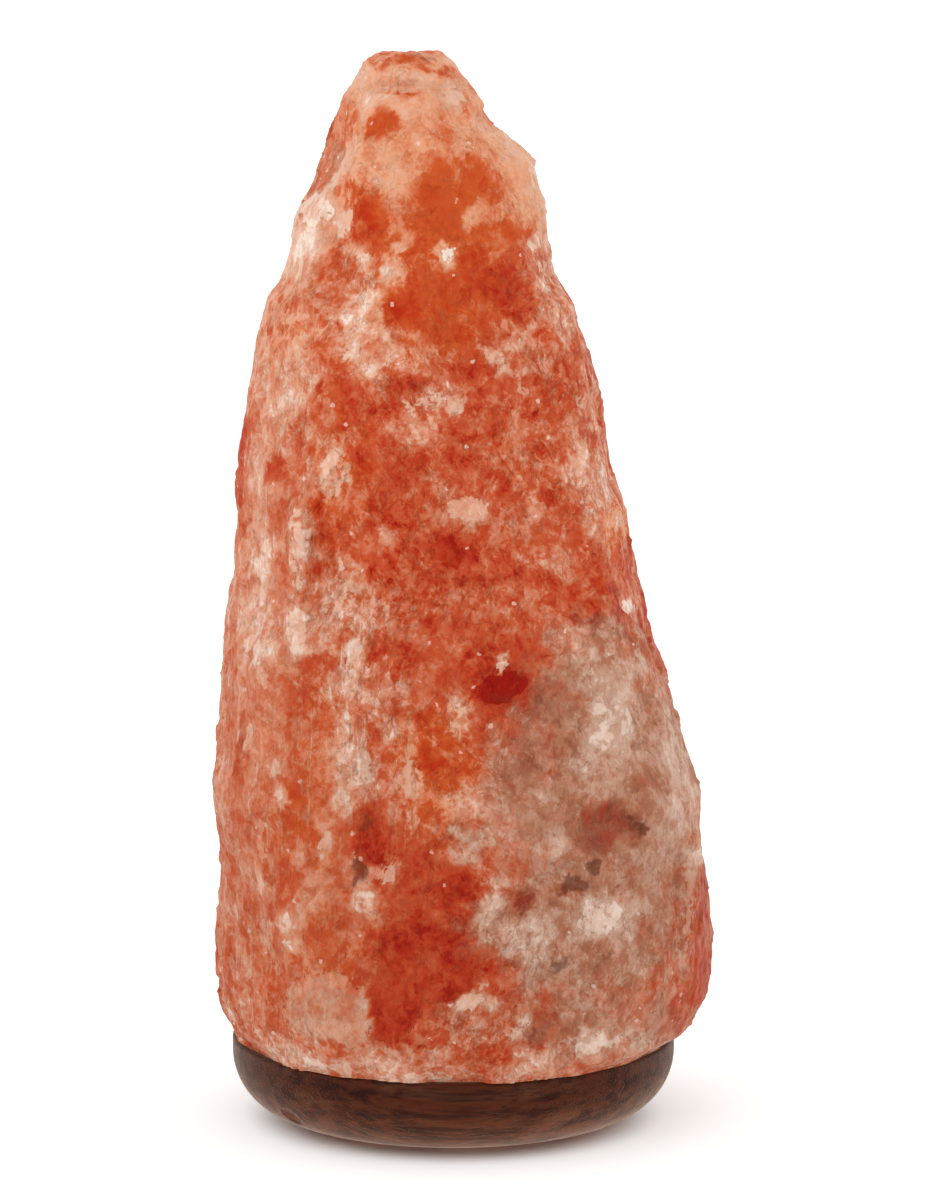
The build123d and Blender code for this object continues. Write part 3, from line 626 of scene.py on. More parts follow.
# Milk: 0 is clear dark red, 0.45 the usual salt, 1 white
MILK = [
    ("whole front", 450, 560, 260, 520, 0, 0.44, 0.3),
    ("pale tip", 408, 130, 96, 84, 0, 0.66, 0.4),
    ("left flank", 262, 560, 44, 330, 4, 0.72, 0.6),
    ("red middle", 470, 500, 120, 260, 12, 0.4, 0.7),
    ("grey side", 600, 820, 110, 200, -10, 0.54, 0.6),
    ("crown", 410, 70, 50, 16, 0, 0.9, 0.3),
    ("crown right strip", 476, 100, 12, 16, -20, 0.6, 0.3),
    ("face under the crown", 380, 100, 38, 22, 0, 1.0, 0.5),
    ("pink haze of the tip", 395, 158, 34, 30, 0, 0.76, 0.7),
    ("pale cheek", 512, 165, 44, 58, -25, 1.0, 0.6),
    ("pale cheek edge", 532, 185, 14, 34, -10, 0.98, 0.5),
    ("glow under the tip", 378, 125, 23, 14, 0, 0.34, 0.5),
    ("orange shoulder", 456, 195, 50, 46, -20, 0.32, 0.5),
    ("orange heart", 442, 208, 16, 26, 0, 0.2, 0.5),
    ("pink band right", 487, 215, 32, 10, -8, 0.64, 0.5),
    ("orange right of the band", 520, 234, 14, 12, 0, 0.32, 0.5),
    ("pale shoulder low", 300, 252, 24, 36, 22, 1.12, 0.4),
    ("red by the shoulder", 372, 222, 20, 26, 15, 0.26, 0.4),
    ("orange below the shoulder", 336, 282, 24, 16, 0, 0.6, 0.6),
    ("pale flank top", 294, 312, 20, 40, 12, 0.72, 0.6),
    ("pale right edge high", 541, 238, 15, 34, -20, 0.9, 0.5),
    ("right edge below the cheek", 572, 330, 12, 44, -14, 0.78, 0.5),
    ("right edge high", 591, 396, 12, 40, -12, 0.74, 0.5),
    ("lilac veil top", 396, 276, 9, 7, 0, 0.84, 0.5),
    ("lilac veil", 364, 318, 22, 34, 15, 0.98, 0.6),
    ("lilac veil low", 372, 356, 24, 26, 0, 0.86, 0.7),
    ("red band", 470, 290, 66, 24, 5, 0.22, 0.6),
    ("clear orange", 424, 316, 30, 26, 0, 0.18, 0.6),
    ("strokes right", 540, 350, 44, 50, 20, 0.52, 0.7),
    ("red left of the strokes", 450, 360, 50, 40, 0, 0.28, 0.6),
    ("feather mark", 522, 392, 14, 20, -20, 0.66, 0.5),
    ("pale under it", 424, 430, 34, 18, 0, 0.84, 0.6),
    ("pink left high", 288, 380, 24, 44, 5, 0.84, 0.6),
    ("red left edge", 242, 468, 9, 70, 3, 0.34, 0.4),
    ("orange pockets left", 336, 410, 26, 30, 0, 0.4, 0.6),
    ("clear pocket", 376, 470, 22, 30, 10, 0.28, 0.6),
    ("feathery middle", 540, 470, 56, 60, 0, 0.53, 0.8),
    ("clear middle", 470, 560, 60, 44, 0, 0.46, 0.6),
    ("clear right of the cluster", 470, 448, 32, 42, 0, 0.36, 0.6),
    ("pale right edge", 612, 490, 14, 34, -5, 0.78, 0.5),
    ("peach right edge", 602, 520, 24, 28, 0, 0.86, 0.4),
    ("notch of the chip", 456, 520, 8, 6, 20, 0.4, 0.3),
    ("pale spot", 382, 540, 14, 14, 0, 0.76, 0.5),
    ("pale flank", 268, 500, 24, 60, 3, 0.58, 0.6),
    ("clear beside the ridge", 322, 560, 14, 44, 0, 0.38, 0.5),
    ("pale flank low", 258, 624, 18, 40, 6, 0.9, 0.5),
    ("veils middle left", 340, 616, 28, 44, 18, 0.8, 0.6),
    ("veils low", 350, 690, 26, 32, 0, 0.78, 0.6),
    ("pale stroke middle", 402, 628, 26, 32, 10, 0.82, 0.6),
    ("red belly", 440, 640, 50, 32, 0, 0.34, 0.6),
    ("red right", 590, 590, 36, 30, 0, 0.46, 0.6),
    ("red above the core", 520, 655, 30, 16, 0, 0.26, 0.6),
    ("pale beside the crystal", 400, 684, 8, 14, 0, 0.84, 0.5),
    ("clear left of the core", 452, 688, 34, 26, 0, 0.3, 0.6),
    ("red right of the core", 532, 692, 26, 22, 0, 0.3, 0.6),
    ("orange below the crystal", 437, 762, 22, 34, 0, 0.34, 0.5),
    ("orange blob", 420, 816, 22, 16, 10, 0.36, 0.5),
    ("pale beside the drop", 402, 748, 18, 42, 0, 0.72, 0.6),
    ("pale streak", 352, 756, 22, 56, 4, 0.74, 0.6),
    ("orange low left", 295, 808, 17, 36, 4, 0.34, 0.5),
    ("salmon flank", 240, 800, 24, 110, 0, 0.6, 0.5),
    ("pale spot left", 301, 856, 6, 13, 8, 0.84, 0.5),
    ("pink left of the streak", 318, 900, 18, 26, 0, 0.66, 0.6),
    ("red around the streak", 430, 880, 46, 36, 10, 0.28, 0.6),
    ("pink fan", 372, 935, 34, 18, -20, 0.6, 0.5),
    ("orange spot low", 322, 957, 16, 20, 15, 0.36, 0.35),
    ("pale below the face", 470, 1020, 34, 24, -25, 0.72, 0.5),
    ("foot left", 250, 1000, 24, 40, -25, 0.66, 0.5),
    ("rim left", 290, 1054, 54, 16, 20, 0.76, 0.4),
    ("rim", 400, 1066, 95, 15, 3, 0.84, 0.4),
    ("rim right", 560, 1058, 105, 18, -8, 0.72, 0.5),
    ("red spots of the rim", 462, 1062, 38, 5, 0, 0.4, 0.5),
    ("red foot right", 560, 1036, 44, 16, -5, 0.42, 0.6),
    ("grey start", 608, 668, 30, 36, -10, 0.72, 0.6),
    ("white bank low", 590, 762, 26, 12, 0, 0.74, 0.6),
    ("grey right", 664, 740, 24, 60, -12, 0.56, 0.5),
    ("grey edge right", 682, 782, 16, 62, -8, 0.84, 0.5),
    ("brown blotch", 634, 742, 12, 12, 0, 0.3, 0.4),
    ("grey middle", 530, 770, 40, 30, 0, 0.42, 0.6),
    ("pale left of the grey", 472, 826, 28, 30, 10, 0.76, 0.6),
    ("red-brown hollow", 606, 828, 34, 21, -8, 0.2, 0.35),
    ("grey white", 553, 846, 15, 16, 0, 0.82, 0.4),
    ("pits", 576, 876, 28, 20, 10, 0.46, 0.5),
    ("white between the pits", 492, 900, 14, 22, 0, 0.8, 0.6),
    ("pale low", 536, 945, 28, 26, -10, 0.76, 0.5),
    ("brown low", 606, 955, 28, 12, -20, 0.42, 0.5),
    ("strokes low right", 640, 930, 30, 60, 15, 0.52, 0.7),
    ("red strip right", 702, 938, 8, 74, 0, 0.36, 0.4),
    ("salmon foot right", 660, 1010, 30, 24, -30, 0.46, 0.6),
    ("haze high in the middle", 410, 366, 30, 28, 0, 0.54, 0.7),
    ("haze in the middle", 410, 600, 30, 30, 0, 0.6, 0.7),
    ("haze beside the drop", 404, 790, 24, 24, 0, 0.6, 0.7),
    ("pale under the clear face", 404, 1032, 34, 14, -6, 0.74, 0.5),
    ("haze at the right", 588, 476, 26, 36, 0, 0.68, 0.6),
    ("pale end of the tip", 466, 76, 14, 22, -20, 0.92, 0.5),
    ("pale slope of the tip", 350, 118, 16, 34, 24, 0.96, 0.5),
    ("pale edge below the cheek", 552, 300, 14, 40, -14, 0.84, 0.5),
    ("pale beside the left edge", 264, 470, 14, 32, 3, 0.78, 0.6),
    ("red edge above the grey", 650, 640, 10, 32, -6, 0.4, 0.5),
    ("brown foot right", 668, 1018, 26, 18, -20, 0.4, 0.5),
]

# Crisp chips: their milk, and how solid they are (0: broken up, 1: whole)
CHIPS = [
    ("lilac patch", 455, 94, 18, 11, 15, 0.86, 0.2),
    ("white ledge", 416, 81, 14, 4, 10, 0.95, 0.5),
    ("pale ridge of the tip", 341, 164, 6, 36, 24, 0.95, 0.5),
    ("pale shoulder", 316, 208, 15, 18, 10, 1.1, 0.5),
    ("white by the shoulder", 344, 222, 8, 16, 12, 1.05, 0.2),
    ("white chip", 447, 253, 10, 4.5, 10, 1.3, 0.3),
    ("glint left", 366, 255, 9, 3, 12, 0.95, 0.3),
    ("glint middle", 385, 268, 9, 2.5, 5, 0.95, 0.3),
    ("white cluster middle", 424, 402, 24, 12, -8, 0.95, -0.05),
    ("white cluster left", 334, 472, 15, 26, 0, 0.92, -0.05),
    ("tooth chip", 467, 510, 17, 11, 25, 0.8, 0.8),
    ("upright ridge", 301, 548, 6, 52, 1, 0.94, 0.1),
    ("angular chip", 300, 632, 9, 24, 12, 0.98, 0.5),
    ("chip right edge", 629, 607, 5, 6, 0, 1.15, 0.4),
    ("speck of the core", 503, 663, 5, 6, 0, 1.1, 0.4),
    ("white crystal", 457, 717, 9, 17, 8, 0.9, 0.0),
    ("white streak", 364, 768, 9, 26, 3, 0.95, 0.1),
    ("white dash", 344, 798, 8, 10, 10, 0.95, 0.2),
    ("long dash", 260, 853, 2.5, 42, 1, 0.86, 0.4),
    ("dash left", 248, 741, 2.5, 12, 0, 0.86, 0.4),
    ("dash leaning", 274, 769, 3.5, 12, 20, 0.9, 0.4),
    ("chip left", 279, 800, 5, 7, -20, 1.1, 0.3),
    ("dash middle", 323, 835, 3.5, 24, 2, 0.9, 0.4),
    ("white left low", 289, 928, 8, 18, 6, 1.1, 0.2),
    ("dash low", 264, 932, 3, 12, 0, 0.9, 0.4),
    ("chip edge low", 232, 909, 4, 9, -15, 0.86, 0.4),
    ("chip edge foot", 249, 978, 5, 6, -20, 0.86, 0.4),
    ("pink block", 371, 873, 10, 10, 5, 0.7, 0.4),
    ("white block", 390, 874, 5, 12, 5, 0.92, 0.3),
    ("white ring", 368, 903, 9, 13, 5, 0.95, 0.1),
    ("white sliver", 354, 855, 3.5, 8, 0, 0.92, 0.3),
    ("peach wedge", 328, 1004, 40, 29, 8, 0.68, 0.9),
    ("peach wedge end", 352, 1022, 15, 22, 0, 0.68, 0.6),
    ("white bank", 615, 728, 20, 32, -8, 0.96, 0.0),
    ("glint of the grey", 560, 850, 3, 3, 0, 1.2, 0.3),
    ("white low", 600, 919, 26, 17, -18, 1.05, 0.1),
    ("pale ridge right", 686, 900, 5, 70, 3, 0.72, 0.1),
    ("chip of the strip", 696, 858, 7, 8, 0, 0.95, 0.3),
    ("clear face", 428, 962, 46, 32, 24, 0.15, 0.9),
    ("clear face low", 392, 1006, 22, 34, 8, 0.15, 0.9),
    ("pale drop", 409, 780, 6, 22, 0, 0.86, 0.2),
    ("dark slope", 322, 168, 11, 34, 26, 0.5, 0.9),
    ("slope above it", 337, 120, 6, 22, 26, 0.5, 0.6),
    ("feather high", 488, 352, 2.2, 18, -38, 0.78, 0.1),
    ("feather middle", 506, 366, 2.2, 22, -36, 0.78, 0.1),
    ("feather low", 524, 384, 2.2, 22, -32, 0.78, 0.1),
    ("pink haze stroke", 398, 250, 3, 14, 30, 0.9, 0.2),
    ("chip by the cluster", 452, 402, 5, 7, 0, 0.85, 0.3),
    ("red dot left", 276, 470, 6, 10, 0, 0.3, 0.3),
    ("pale block low", 472, 1000, 14, 10, -20, 0.95, 0.2),
    ("pale block foot", 514, 1030, 18, 8, -25, 0.95, 0.2),
    ("white foot", 598, 1044, 26, 9, -14, 1.05, 0.2),
    ("white rim left", 330, 1066, 30, 7, 16, 1.0, 0.2),
    ("white rim", 410, 1076, 36, 6, 3, 0.98, 0.2),
    ("red core", 504, 688, 19, 12, -28, -0.12, 0.9),
    ("clear red streak", 376, 846, 11, 28, -8, 0.1, 0.3),
    ("red pit", 520, 900, 6, 8, 0, 0.2, 0.3),
    ("red pit left", 463, 888, 7, 10, 0, 0.05, 0.4),
    ("clear pocket high", 446, 330, 16, 10, 10, 0.16, 0.1),
    ("clear pocket middle", 452, 552, 16, 9, -10, 0.16, 0.1),
    ("line of the crown", 398, 61, 26, 2, -3, 0.34, 0.1),
    ("second line of the crown", 430, 70, 20, 2, 8, 0.4, 0.0),
    ("pale step of the crown", 384, 74, 22, 4, -6, 0.95, 0.3),
    ("shade under the ledge", 404, 90, 14, 2.4, 6, 0.3, 0.2),
    ("pale chip of the haze", 352, 352, 8, 12, 20, 0.95, 0.1),
    ("pale chip of the flank", 262, 560, 7, 26, 4, 0.98, 0.2),
    ("pale chip of the flank low", 252, 640, 8, 24, 4, 1.0, 0.2),
    ("pale chip of the veils", 338, 600, 9, 30, 14, 0.92, 0.1),
    ("pale chip of the veils low", 352, 655, 8, 22, 6, 0.95, 0.1),
    ("pale chip right", 604, 480, 8, 18, -5, 0.95, 0.1),
]

# Ember: how orange the salt is
EMBER = [
    ("tip", 420, 150, 130, 110, 0, 0.8, 0.4),
    ("cheek", 510, 170, 44, 60, -20, 1.0, 0.4),
    ("orange shoulder", 450, 205, 66, 56, -15, 1.2, 0.4),
    ("band", 430, 310, 70, 46, 0, 0.75, 0.6),
    ("left flank", 285, 300, 40, 80, 10, 0.5, 0.6),
    ("left pockets", 340, 460, 40, 130, 0, 0.45, 0.6),
    ("right edge", 616, 528, 14, 26, 0, 0.9, 0.5),
    ("low left", 300, 800, 50, 110, 0, 0.5, 0.6),
    ("below the crystal", 437, 770, 40, 70, 0, 0.75, 0.5),
    ("foot left", 320, 970, 70, 70, 0, 0.5, 0.5),
    ("wedge", 330, 1014, 44, 36, 20, 0.45, 0.2),
    ("clear face", 420, 985, 60, 60, 0, 0.1, 0.4),
]

# Cloud: how grey and cloudy it is
CLOUD = [
    ("grey side", 610, 800, 90, 170, -12, 0.85, 0.5),
    ("grey middle", 540, 790, 60, 60, 0, 0.75, 0.6),
    ("grey low", 570, 930, 95, 70, 0, 0.85, 0.5),
    ("grey start", 605, 660, 40, 40, 0, 0.9, 0.6),
    ("grey right", 660, 760, 36, 70, -12, 0.9, 0.4),
    ("red hollow", 600, 826, 36, 22, 0, 0.6, 0.5),
    ("red strip", 703, 928, 9, 66, 0, 0.3, 0.2),
    ("foot", 600, 1030, 100, 34, 0, 0.65, 0.5),
    ("lilac patch", 455, 94, 18, 11, 0, 0.35, 0.4),
    ("wedge", 330, 1012, 40, 32, 20, 0.45, 0.2),
    ("veil", 372, 330, 24, 44, 0, 0.15, 0.6),
    ("streak", 352, 770, 24, 50, 0, 0.3, 0.6),
    ("below the face", 470, 1020, 40, 26, 0, 0.4, 0.6),
    ("dark slope", 322, 172, 15, 34, 24, 0.5, 0.2),
    ("left of the grey", 474, 826, 34, 36, 0, 0.5, 0.6),
]

# Rough: how strongly its tone changes from grain to grain
ROUGH = [
    ("tip", 400, 110, 80, 70, 0, 0.6, 0.4),
    ("cheek and shoulder", 470, 190, 90, 66, 0, 0.6, 0.4),
    ("left shoulder", 310, 230, 34, 60, 10, 0.65, 0.4),
    ("left flank", 260, 640, 50, 300, 0, 0.62, 0.5),
    ("low left", 290, 880, 90, 140, 0, 0.6, 0.5),
    ("grey side", 600, 810, 110, 170, -10, 0.6, 0.4),
    ("foot right", 620, 1000, 100, 60, -10, 0.7, 0.4),
    ("rim", 430, 1066, 220, 18, 0, 0.85, 0.4),
]

# Pits: dirt in holes and cracks, and painted shade in the hollows and under the ledge
PITS = [
    ("brown blotch", 634, 744, 9, 9, 0, 0.6, 0.5),
    ("dark pit", 634, 827, 11, 10, 0, 1.2, 0.4),
    ("hollow's shade", 610, 830, 26, 14, 0, 0.2, 0.5),
    ("grey speckle", 563, 962, 14, 9, -15, 0.8, 0.5),
    ("crack by the block", 358, 868, 6, 18, 0, 1.0, 0.4),
    ("crack by the streak", 372, 826, 8, 12, 0, 0.5, 0.5),
    ("painted shade under the ledge", 405, 87, 14, 2, 0, 0.45, 0.5),
    ("line of the crown", 418, 57, 18, 2, 0, 0.45, 0.5),
    ("pit one", 556, 868, 9, 6, 10, 1.2, 0.5),
    ("pit two", 591, 861, 6, 8, 0, 1.2, 0.5),
    ("pit three", 581, 885, 9, 6, -20, 1.2, 0.5),
    ("pit four", 566, 895, 6, 5, 0, 1.1, 0.5),
]

PATCHES = {"milk": MILK, "ember": EMBER, "cloud": CLOUD, "rough": ROUGH, "pit": PITS}


def cover(places, x, y, half_width, half_height, lean, softness):
    """How much of a patch covers each picture position, from 0 to 1."""
    turn = radians(lean)
    across, down = places[:, 0] - x, places[:, 1] - y
    along = (across * cos(turn) + down * sin(turn)) / half_width
    over = (down * cos(turn) - across * sin(turn)) / half_height
    return smooth(1.0 + softness, 1.0 - softness, np.hypot(along, over))


def painted(patches, places, start):
    """The field that a list of patches paints, one over the other, on a starting value."""
    field = np.full(len(places), start)
    for _, *spot, value, softness in patches:
        share = cover(places, *spot, softness)
        field = field * (1 - share) + value * share
    return field


# Crisp chips: how strong a broken up one is, how soft its outline is, and the milk where none is near
CHIP_SHARE = 0.6
CHIP_SOFTNESS = 0.6
CHIP_MILK = 0.9

# How far a chip's milk and its halo reach past it, by a factor and by picture units, and how softly
REACH = (1.6, 5)
REACH_SOFTNESS = 0.99
HALO = (1.1, 2)
HALO_SOFTNESS = 0.7
HALO_SHARE = 0.85


def larger(spot, factor, more):
    """The place of a patch, made larger by a factor and some picture units."""
    x, y, half_width, half_height, lean = spot
    return x, y, factor * half_width + more, factor * half_height + more, lean


def crisp_chips(places):
    """Where the crisp chips are, their outlines near 0.5, and the milk of the nearest one."""
    share = np.zeros(len(places))
    nearest = np.zeros(len(places))
    tone = np.full(len(places), CHIP_MILK)
    for _, *spot, value, solid in CHIPS:
        share = np.maximum(share, (CHIP_SHARE + solid) * cover(places, *spot, CHIP_SOFTNESS))
        reach = cover(places, *larger(spot, *REACH), REACH_SOFTNESS)
        tone = np.where(reach > nearest, value, tone)
        nearest = np.maximum(nearest, reach)
    return share, tone


def haloes():
    """Soft patches of milk around the crisp chips."""
    return [
        (name, *larger(spot, *HALO), HALO_SHARE * value, HALO_SOFTNESS)
        for name, *spot, value, _ in CHIPS
    ]


def on_crystals(points, size, share):
    """Moves points part of the way to the middle of the crystal that they lie in."""
    moved = []
    for point in points:
        middle = noise.voronoi(Vector(point) / size)[1][0]
        moved.append(Vector(point).lerp(middle * size, share))
    return np.array(moved)


# ----------------------------------------------------------------------------------------------
# The rock


# Underside of the crystal, and the height from which the skin goes straight down to it
BOTTOM = 0.027
CUT = 0.0276

# Bulb's room and plug holes, a little larger than they are, so that their walls lie inside. A face
# that is less than tiny above the underside belongs to the underside.
ROOM_RADIUS = 0.0313
ROOM_TOP = 0.1373
PLUG_ANGLES = (0, 180, 270)
PLUG_CIRCLE = 0.041
PLUG_RADIUS = 0.0043
PLUG_TOP = 0.0575
TINY = 1e-5


def inside_room(face):
    """Whether a face of the crystal is a wall of the bulb's room or of a plug hole."""
    middle = face.calc_center_median()
    if middle.z < BOTTOM + TINY:
        return False
    if middle.xy.length < ROOM_RADIUS and middle.z < ROOM_TOP:
        return True
    turns = [radians(angle) for angle in PLUG_ANGLES]
    spots = [PLUG_CIRCLE * Vector((cos(turn), sin(turn))) for turn in turns]
    return middle.z < PLUG_TOP and any((middle.xy - spot).length < PLUG_RADIUS for spot in spots)


def in_scene(name, data):
    """A new object with that data, linked to the scene."""
    made = bpy.data.objects.new(name, data)
    bpy.context.scene.collection.objects.link(made)
    return made


def object_from(bm, name):
    """A new object in the scene with that mesh."""
    mesh = bpy.data.meshes.new(name)
    bm.to_mesh(mesh)
    bm.free()
    return in_scene(name, mesh)


def crystal_faces(inside):
    """The CAD crystal's mesh, its triangles joined: only the walls of its holes, or all but those."""
    bm = bmesh.new()
    bm.from_mesh(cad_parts["salt_crystal"].data)
    bmesh.ops.remove_doubles(bm, verts=bm.verts, dist=2e-6)
    bmesh.ops.delete(bm, geom=[f for f in bm.faces if inside_room(f) != inside], context="FACES")
    bmesh.ops.delete(bm, geom=[v for v in bm.verts if not v.link_faces], context="VERTS")
    return bm


def plain_mesh(subject):
    """The object's mesh with its modifiers applied, and the modifiers gone."""
    graph = bpy.context.evaluated_depsgraph_get()
    mesh = bpy.data.meshes.new_from_object(subject.evaluated_get(graph))
    old = subject.data
    subject.modifiers.clear()
    subject.data = mesh
    mesh.name = subject.name
    bpy.data.meshes.remove(old)
    return mesh


def even_skin(face_size):
    """The crystal's outside, closed and of even small faces, without its room and holes."""
    bm = crystal_faces(inside=False)
    bmesh.ops.holes_fill(bm, edges=[e for e in bm.edges if e.is_boundary], sides=0)
    bmesh.ops.recalc_face_normals(bm, faces=bm.faces)
    rock = object_from(bm, "rock_salt_block")
    remesh = rock.modifiers.new("Even Faces", "REMESH")
    remesh.mode = "VOXEL"
    remesh.voxel_size = face_size
    plain_mesh(rock)
    return rock


def points_of(mesh):
    """Corner positions and normals of a mesh as arrays."""
    places = np.zeros(len(mesh.vertices) * 3)
    mesh.vertices.foreach_get("co", places)
    normals = np.zeros(len(mesh.vertices) * 3)
    mesh.vertex_normals.foreach_get("vector", normals)
    return places.reshape(-1, 3), normals.reshape(-1, 3)


def geometry_tree(name, **kinds):
    """A geometry nodes tree with named inputs of those kinds and a material: its nodes and inputs."""
    tree = bpy.data.node_groups.new(name, "GeometryNodeTree")
    inputs = {"Geometry": "Geometry", **kinds, "Material": "Material"}
    sockets(tree, **{socket: ("in", kind, None) for socket, kind in inputs.items()})
    sockets(tree, Geometry=("out", "Geometry", None))
    nodes = Nodes(tree)
    return nodes, nodes.add("NodeGroupInput").outputs


def finish_tree(nodes, given, geometry):
    """Ends a geometry nodes tree with real geometry that wears the material."""
    real = nodes.add("GeometryNodeRealizeInstances", {"Geometry": geometry}).outputs[0]
    worn = {"Geometry": real, "Material": given["Material"]}
    nodes.feed(nodes.add("NodeGroupOutput").inputs[0], nodes.add("GeometryNodeSetMaterial", worn).outputs[0])
    return nodes.tree


# The hewn skin: how far one seed lies from the next, waves per metre and reach of the noise that
# bends its faces, and the upright ribs' waves per metre, their stretch and their height in metres
SEED_STEP = (0.37, 0.11, 0.73)
HEWN_WAVES = 28.0
HEWN_REACH = 0.014
RIB_WAVES = 190.0
RIB_STRETCH = 0.12
RIB_DEPTH = 0.0045


def hewing_tree():
    """Geometry nodes that give the skin its swells, broken faces, chips and crystal grains."""
    layers = ("Swell", "Facet", "Chip", "Grain")
    sizes = {layer + side: "Float" for layer in layers for side in ("_Size", "_Depth")}
    nodes, given = geometry_tree("Hewn Salt", **sizes, Seed="Float")
    place = nodes.add("GeometryNodeInputPosition").outputs[0]
    normal = nodes.add("GeometryNodeInputNormal").outputs[0]
    moved = nodes.vector("ADD", place, nodes.scaled(SEED_STEP, given["Seed"]))
    bent = nodes.bent(moved, nodes.noise(moved, HEWN_WAVES, 3.0, output="Color"), HEWN_REACH)

    def stored(name):
        kind = "GeometryNodeInputNamedAttribute"
        return nodes.add(kind, {"Name": name}, data_type="FLOAT").outputs[0]

    def broken(size, depth):
        """Each cell is a flat face tilted its own way, so that its edges step up or down."""
        cells = nodes.voronoi(bent, nodes.math("DIVIDE", 1.0, size))
        offset = nodes.vector("SUBTRACT", bent, cells["Position"])
        slope = nodes.vector("DOT_PRODUCT", offset, nodes.centred(cells["Color"]))
        return nodes.times(nodes.math("DIVIDE", slope, size), depth)

    swell = nodes.noise(moved, nodes.math("DIVIDE", 1.0, given["Swell Size"]), 2.0)
    rise = nodes.times(nodes.minus(swell, 0.5), nodes.times(given["Swell Depth"], 2.0))
    for layer in layers[1:]:
        rise = nodes.plus(rise, broken(given[layer + " Size"], given[layer + " Depth"]))
    rise = nodes.times(rise, nodes.minus(1.0, stored("calm")))
    upright = nodes.noise(nodes.stretched(moved, 1.0, 1.0, RIB_STRETCH), RIB_WAVES, 3.0)
    ribs = nodes.times(nodes.minus(upright, 0.5), RIB_DEPTH)
    rise = nodes.plus(rise, nodes.times(ribs, stored("fibre")))
    inputs = {"Geometry": given["Geometry"], "Offset": nodes.scaled(normal, rise)}
    return finish_tree(nodes, given, nodes.add("GeometryNodeSetPosition", inputs).outputs[0])


def grow(subject, tree, **values):
    """Runs a geometry nodes tree on an object, keeps its result and removes its modifier."""
    modifier = subject.modifiers.new(tree.name, "NODES")
    modifier.node_group = tree
    known = {item.name: item.identifier for item in tree.interface.items_tree}
    for name, value in values.items():
        modifier[known[name.replace("_", " ")]] = value
    mesh = plain_mesh(subject)
    if not mesh.materials:
        mesh.materials.append(values["Material"])


# Where the skin counts as front and as underside, by how far it faces the camera or looks up
FRONT = (-0.3, 0.02)
UNDER = (-0.55, -0.9)

# Where the upright ribs are: how far the skin looks left, up to which height, and the patch low at the left
RIB_SIDE = (0.1, 0.7)
RIB_TOP = (0.27, 0.2)
RIB_PATCH = (310, 770, 110, 200, 0, 0.6)

# What makes the patches' edges ragged: waves per metre of a noise and its reach in picture units,
# and the share of it at the chips. A seed of 0 would be drawn from the clock.
RAGS = ((90, 8), (260, 3))
CHIP_RAGS = 0.4
RAGGED_SEED = 5

# How the edges follow the salt's crystals: size of a crystal, and how far a place moves to its middle
BROAD_CRYSTALS = (0.005, 0.5)
FINE_CRYSTALS = (0.003, 0.6)

# Turns the places on the sides and the back, so that no patch there follows an upright or level line,
# and bends them by so many metres for each picture unit of raggedness
SKEW = np.array([[0.8, 0.36, -0.48], [0.0, 0.8, 0.6], [0.6, -0.48, 0.64]])
SKEW_BEND = 0.0012

# Patches and loose chips on the sides and the back: waves per metre of their noise, where it rises
# from least to most, and how strong the chips are
WILD_WAVES = 17
WILD_RISE = (-0.35, 0.45)
LOOSE_WAVES = 75
LOOSE_RISE = (0.38, 0.66)
LOOSE_SHARE = 0.8

# Each field's value under the patches, and its lowest and highest value on the sides and the back
FIELDS = {
    "milk": (0.5, 0.36, 0.84), "ember": (0.15, 0.0, 1.0), "cloud": (0.0, -0.7, 0.6),
    "rough": (1.0, 0.6, 1.0), "pit": (0.0, -0.4, 0.3),
}

# How soft the edges of the shape features are
SHAPE_SOFTNESS = 0.45

# Shape features that can be seen on the front: what it is, x, y, half width, half height, lean,
# and how far the surface moves out of the rock in millimetres (less than 0: into it).
SHAPES = [
    ("dark slope of the tip", 318, 158, 20, 40, 22, -2.5),
    ("notch at the right of the tip", 492, 118, 14, 12, 0, -2.5),
    ("right shoulder", 528, 190, 18, 40, -10, 1.5),
    ("left shoulder", 312, 220, 16, 44, 8, 2.0),
    ("ridge on the flank", 300, 560, 8, 60, 0, 2.2),
    ("angular chip", 300, 632, 12, 28, 5, 2.0),
    ("step beside the ridge", 322, 560, 12, 56, 0, -1.6),
    ("tooth chip", 468, 512, 20, 12, 10, 1.6),
    ("red core hollow", 502, 686, 26, 18, -25, -0.8),
    ("red hollow", 606, 828, 34, 22, 0, -0.8),
    ("dark pit", 637, 828, 8, 9, 0, -1.8),
    ("pits", 572, 880, 24, 18, 0, -1.5),
    ("right ridge", 688, 920, 6, 60, 0, 1.6),
    ("strip behind the ridge", 704, 925, 11, 80, 0, 0.6),
    ("peach wedge", 328, 1020, 44, 34, -25, 1.8),
    ("dark face", 408, 975, 40, 48, 0, -1.6),
    ("ledge under the crown", 410, 86, 50, 5, 0, -1.6),
    ("crown", 408, 66, 42, 9, 0, 0.8),
    ("bead of the rim left", 300, 1066, 20, 10, 15, 1.4),
    ("bead of the rim middle", 400, 1078, 26, 9, 5, 1.4),
    ("bead of the rim right", 520, 1076, 30, 9, -5, 1.4),
    ("bead of the rim end", 620, 1058, 24, 10, -12, 1.4),
]


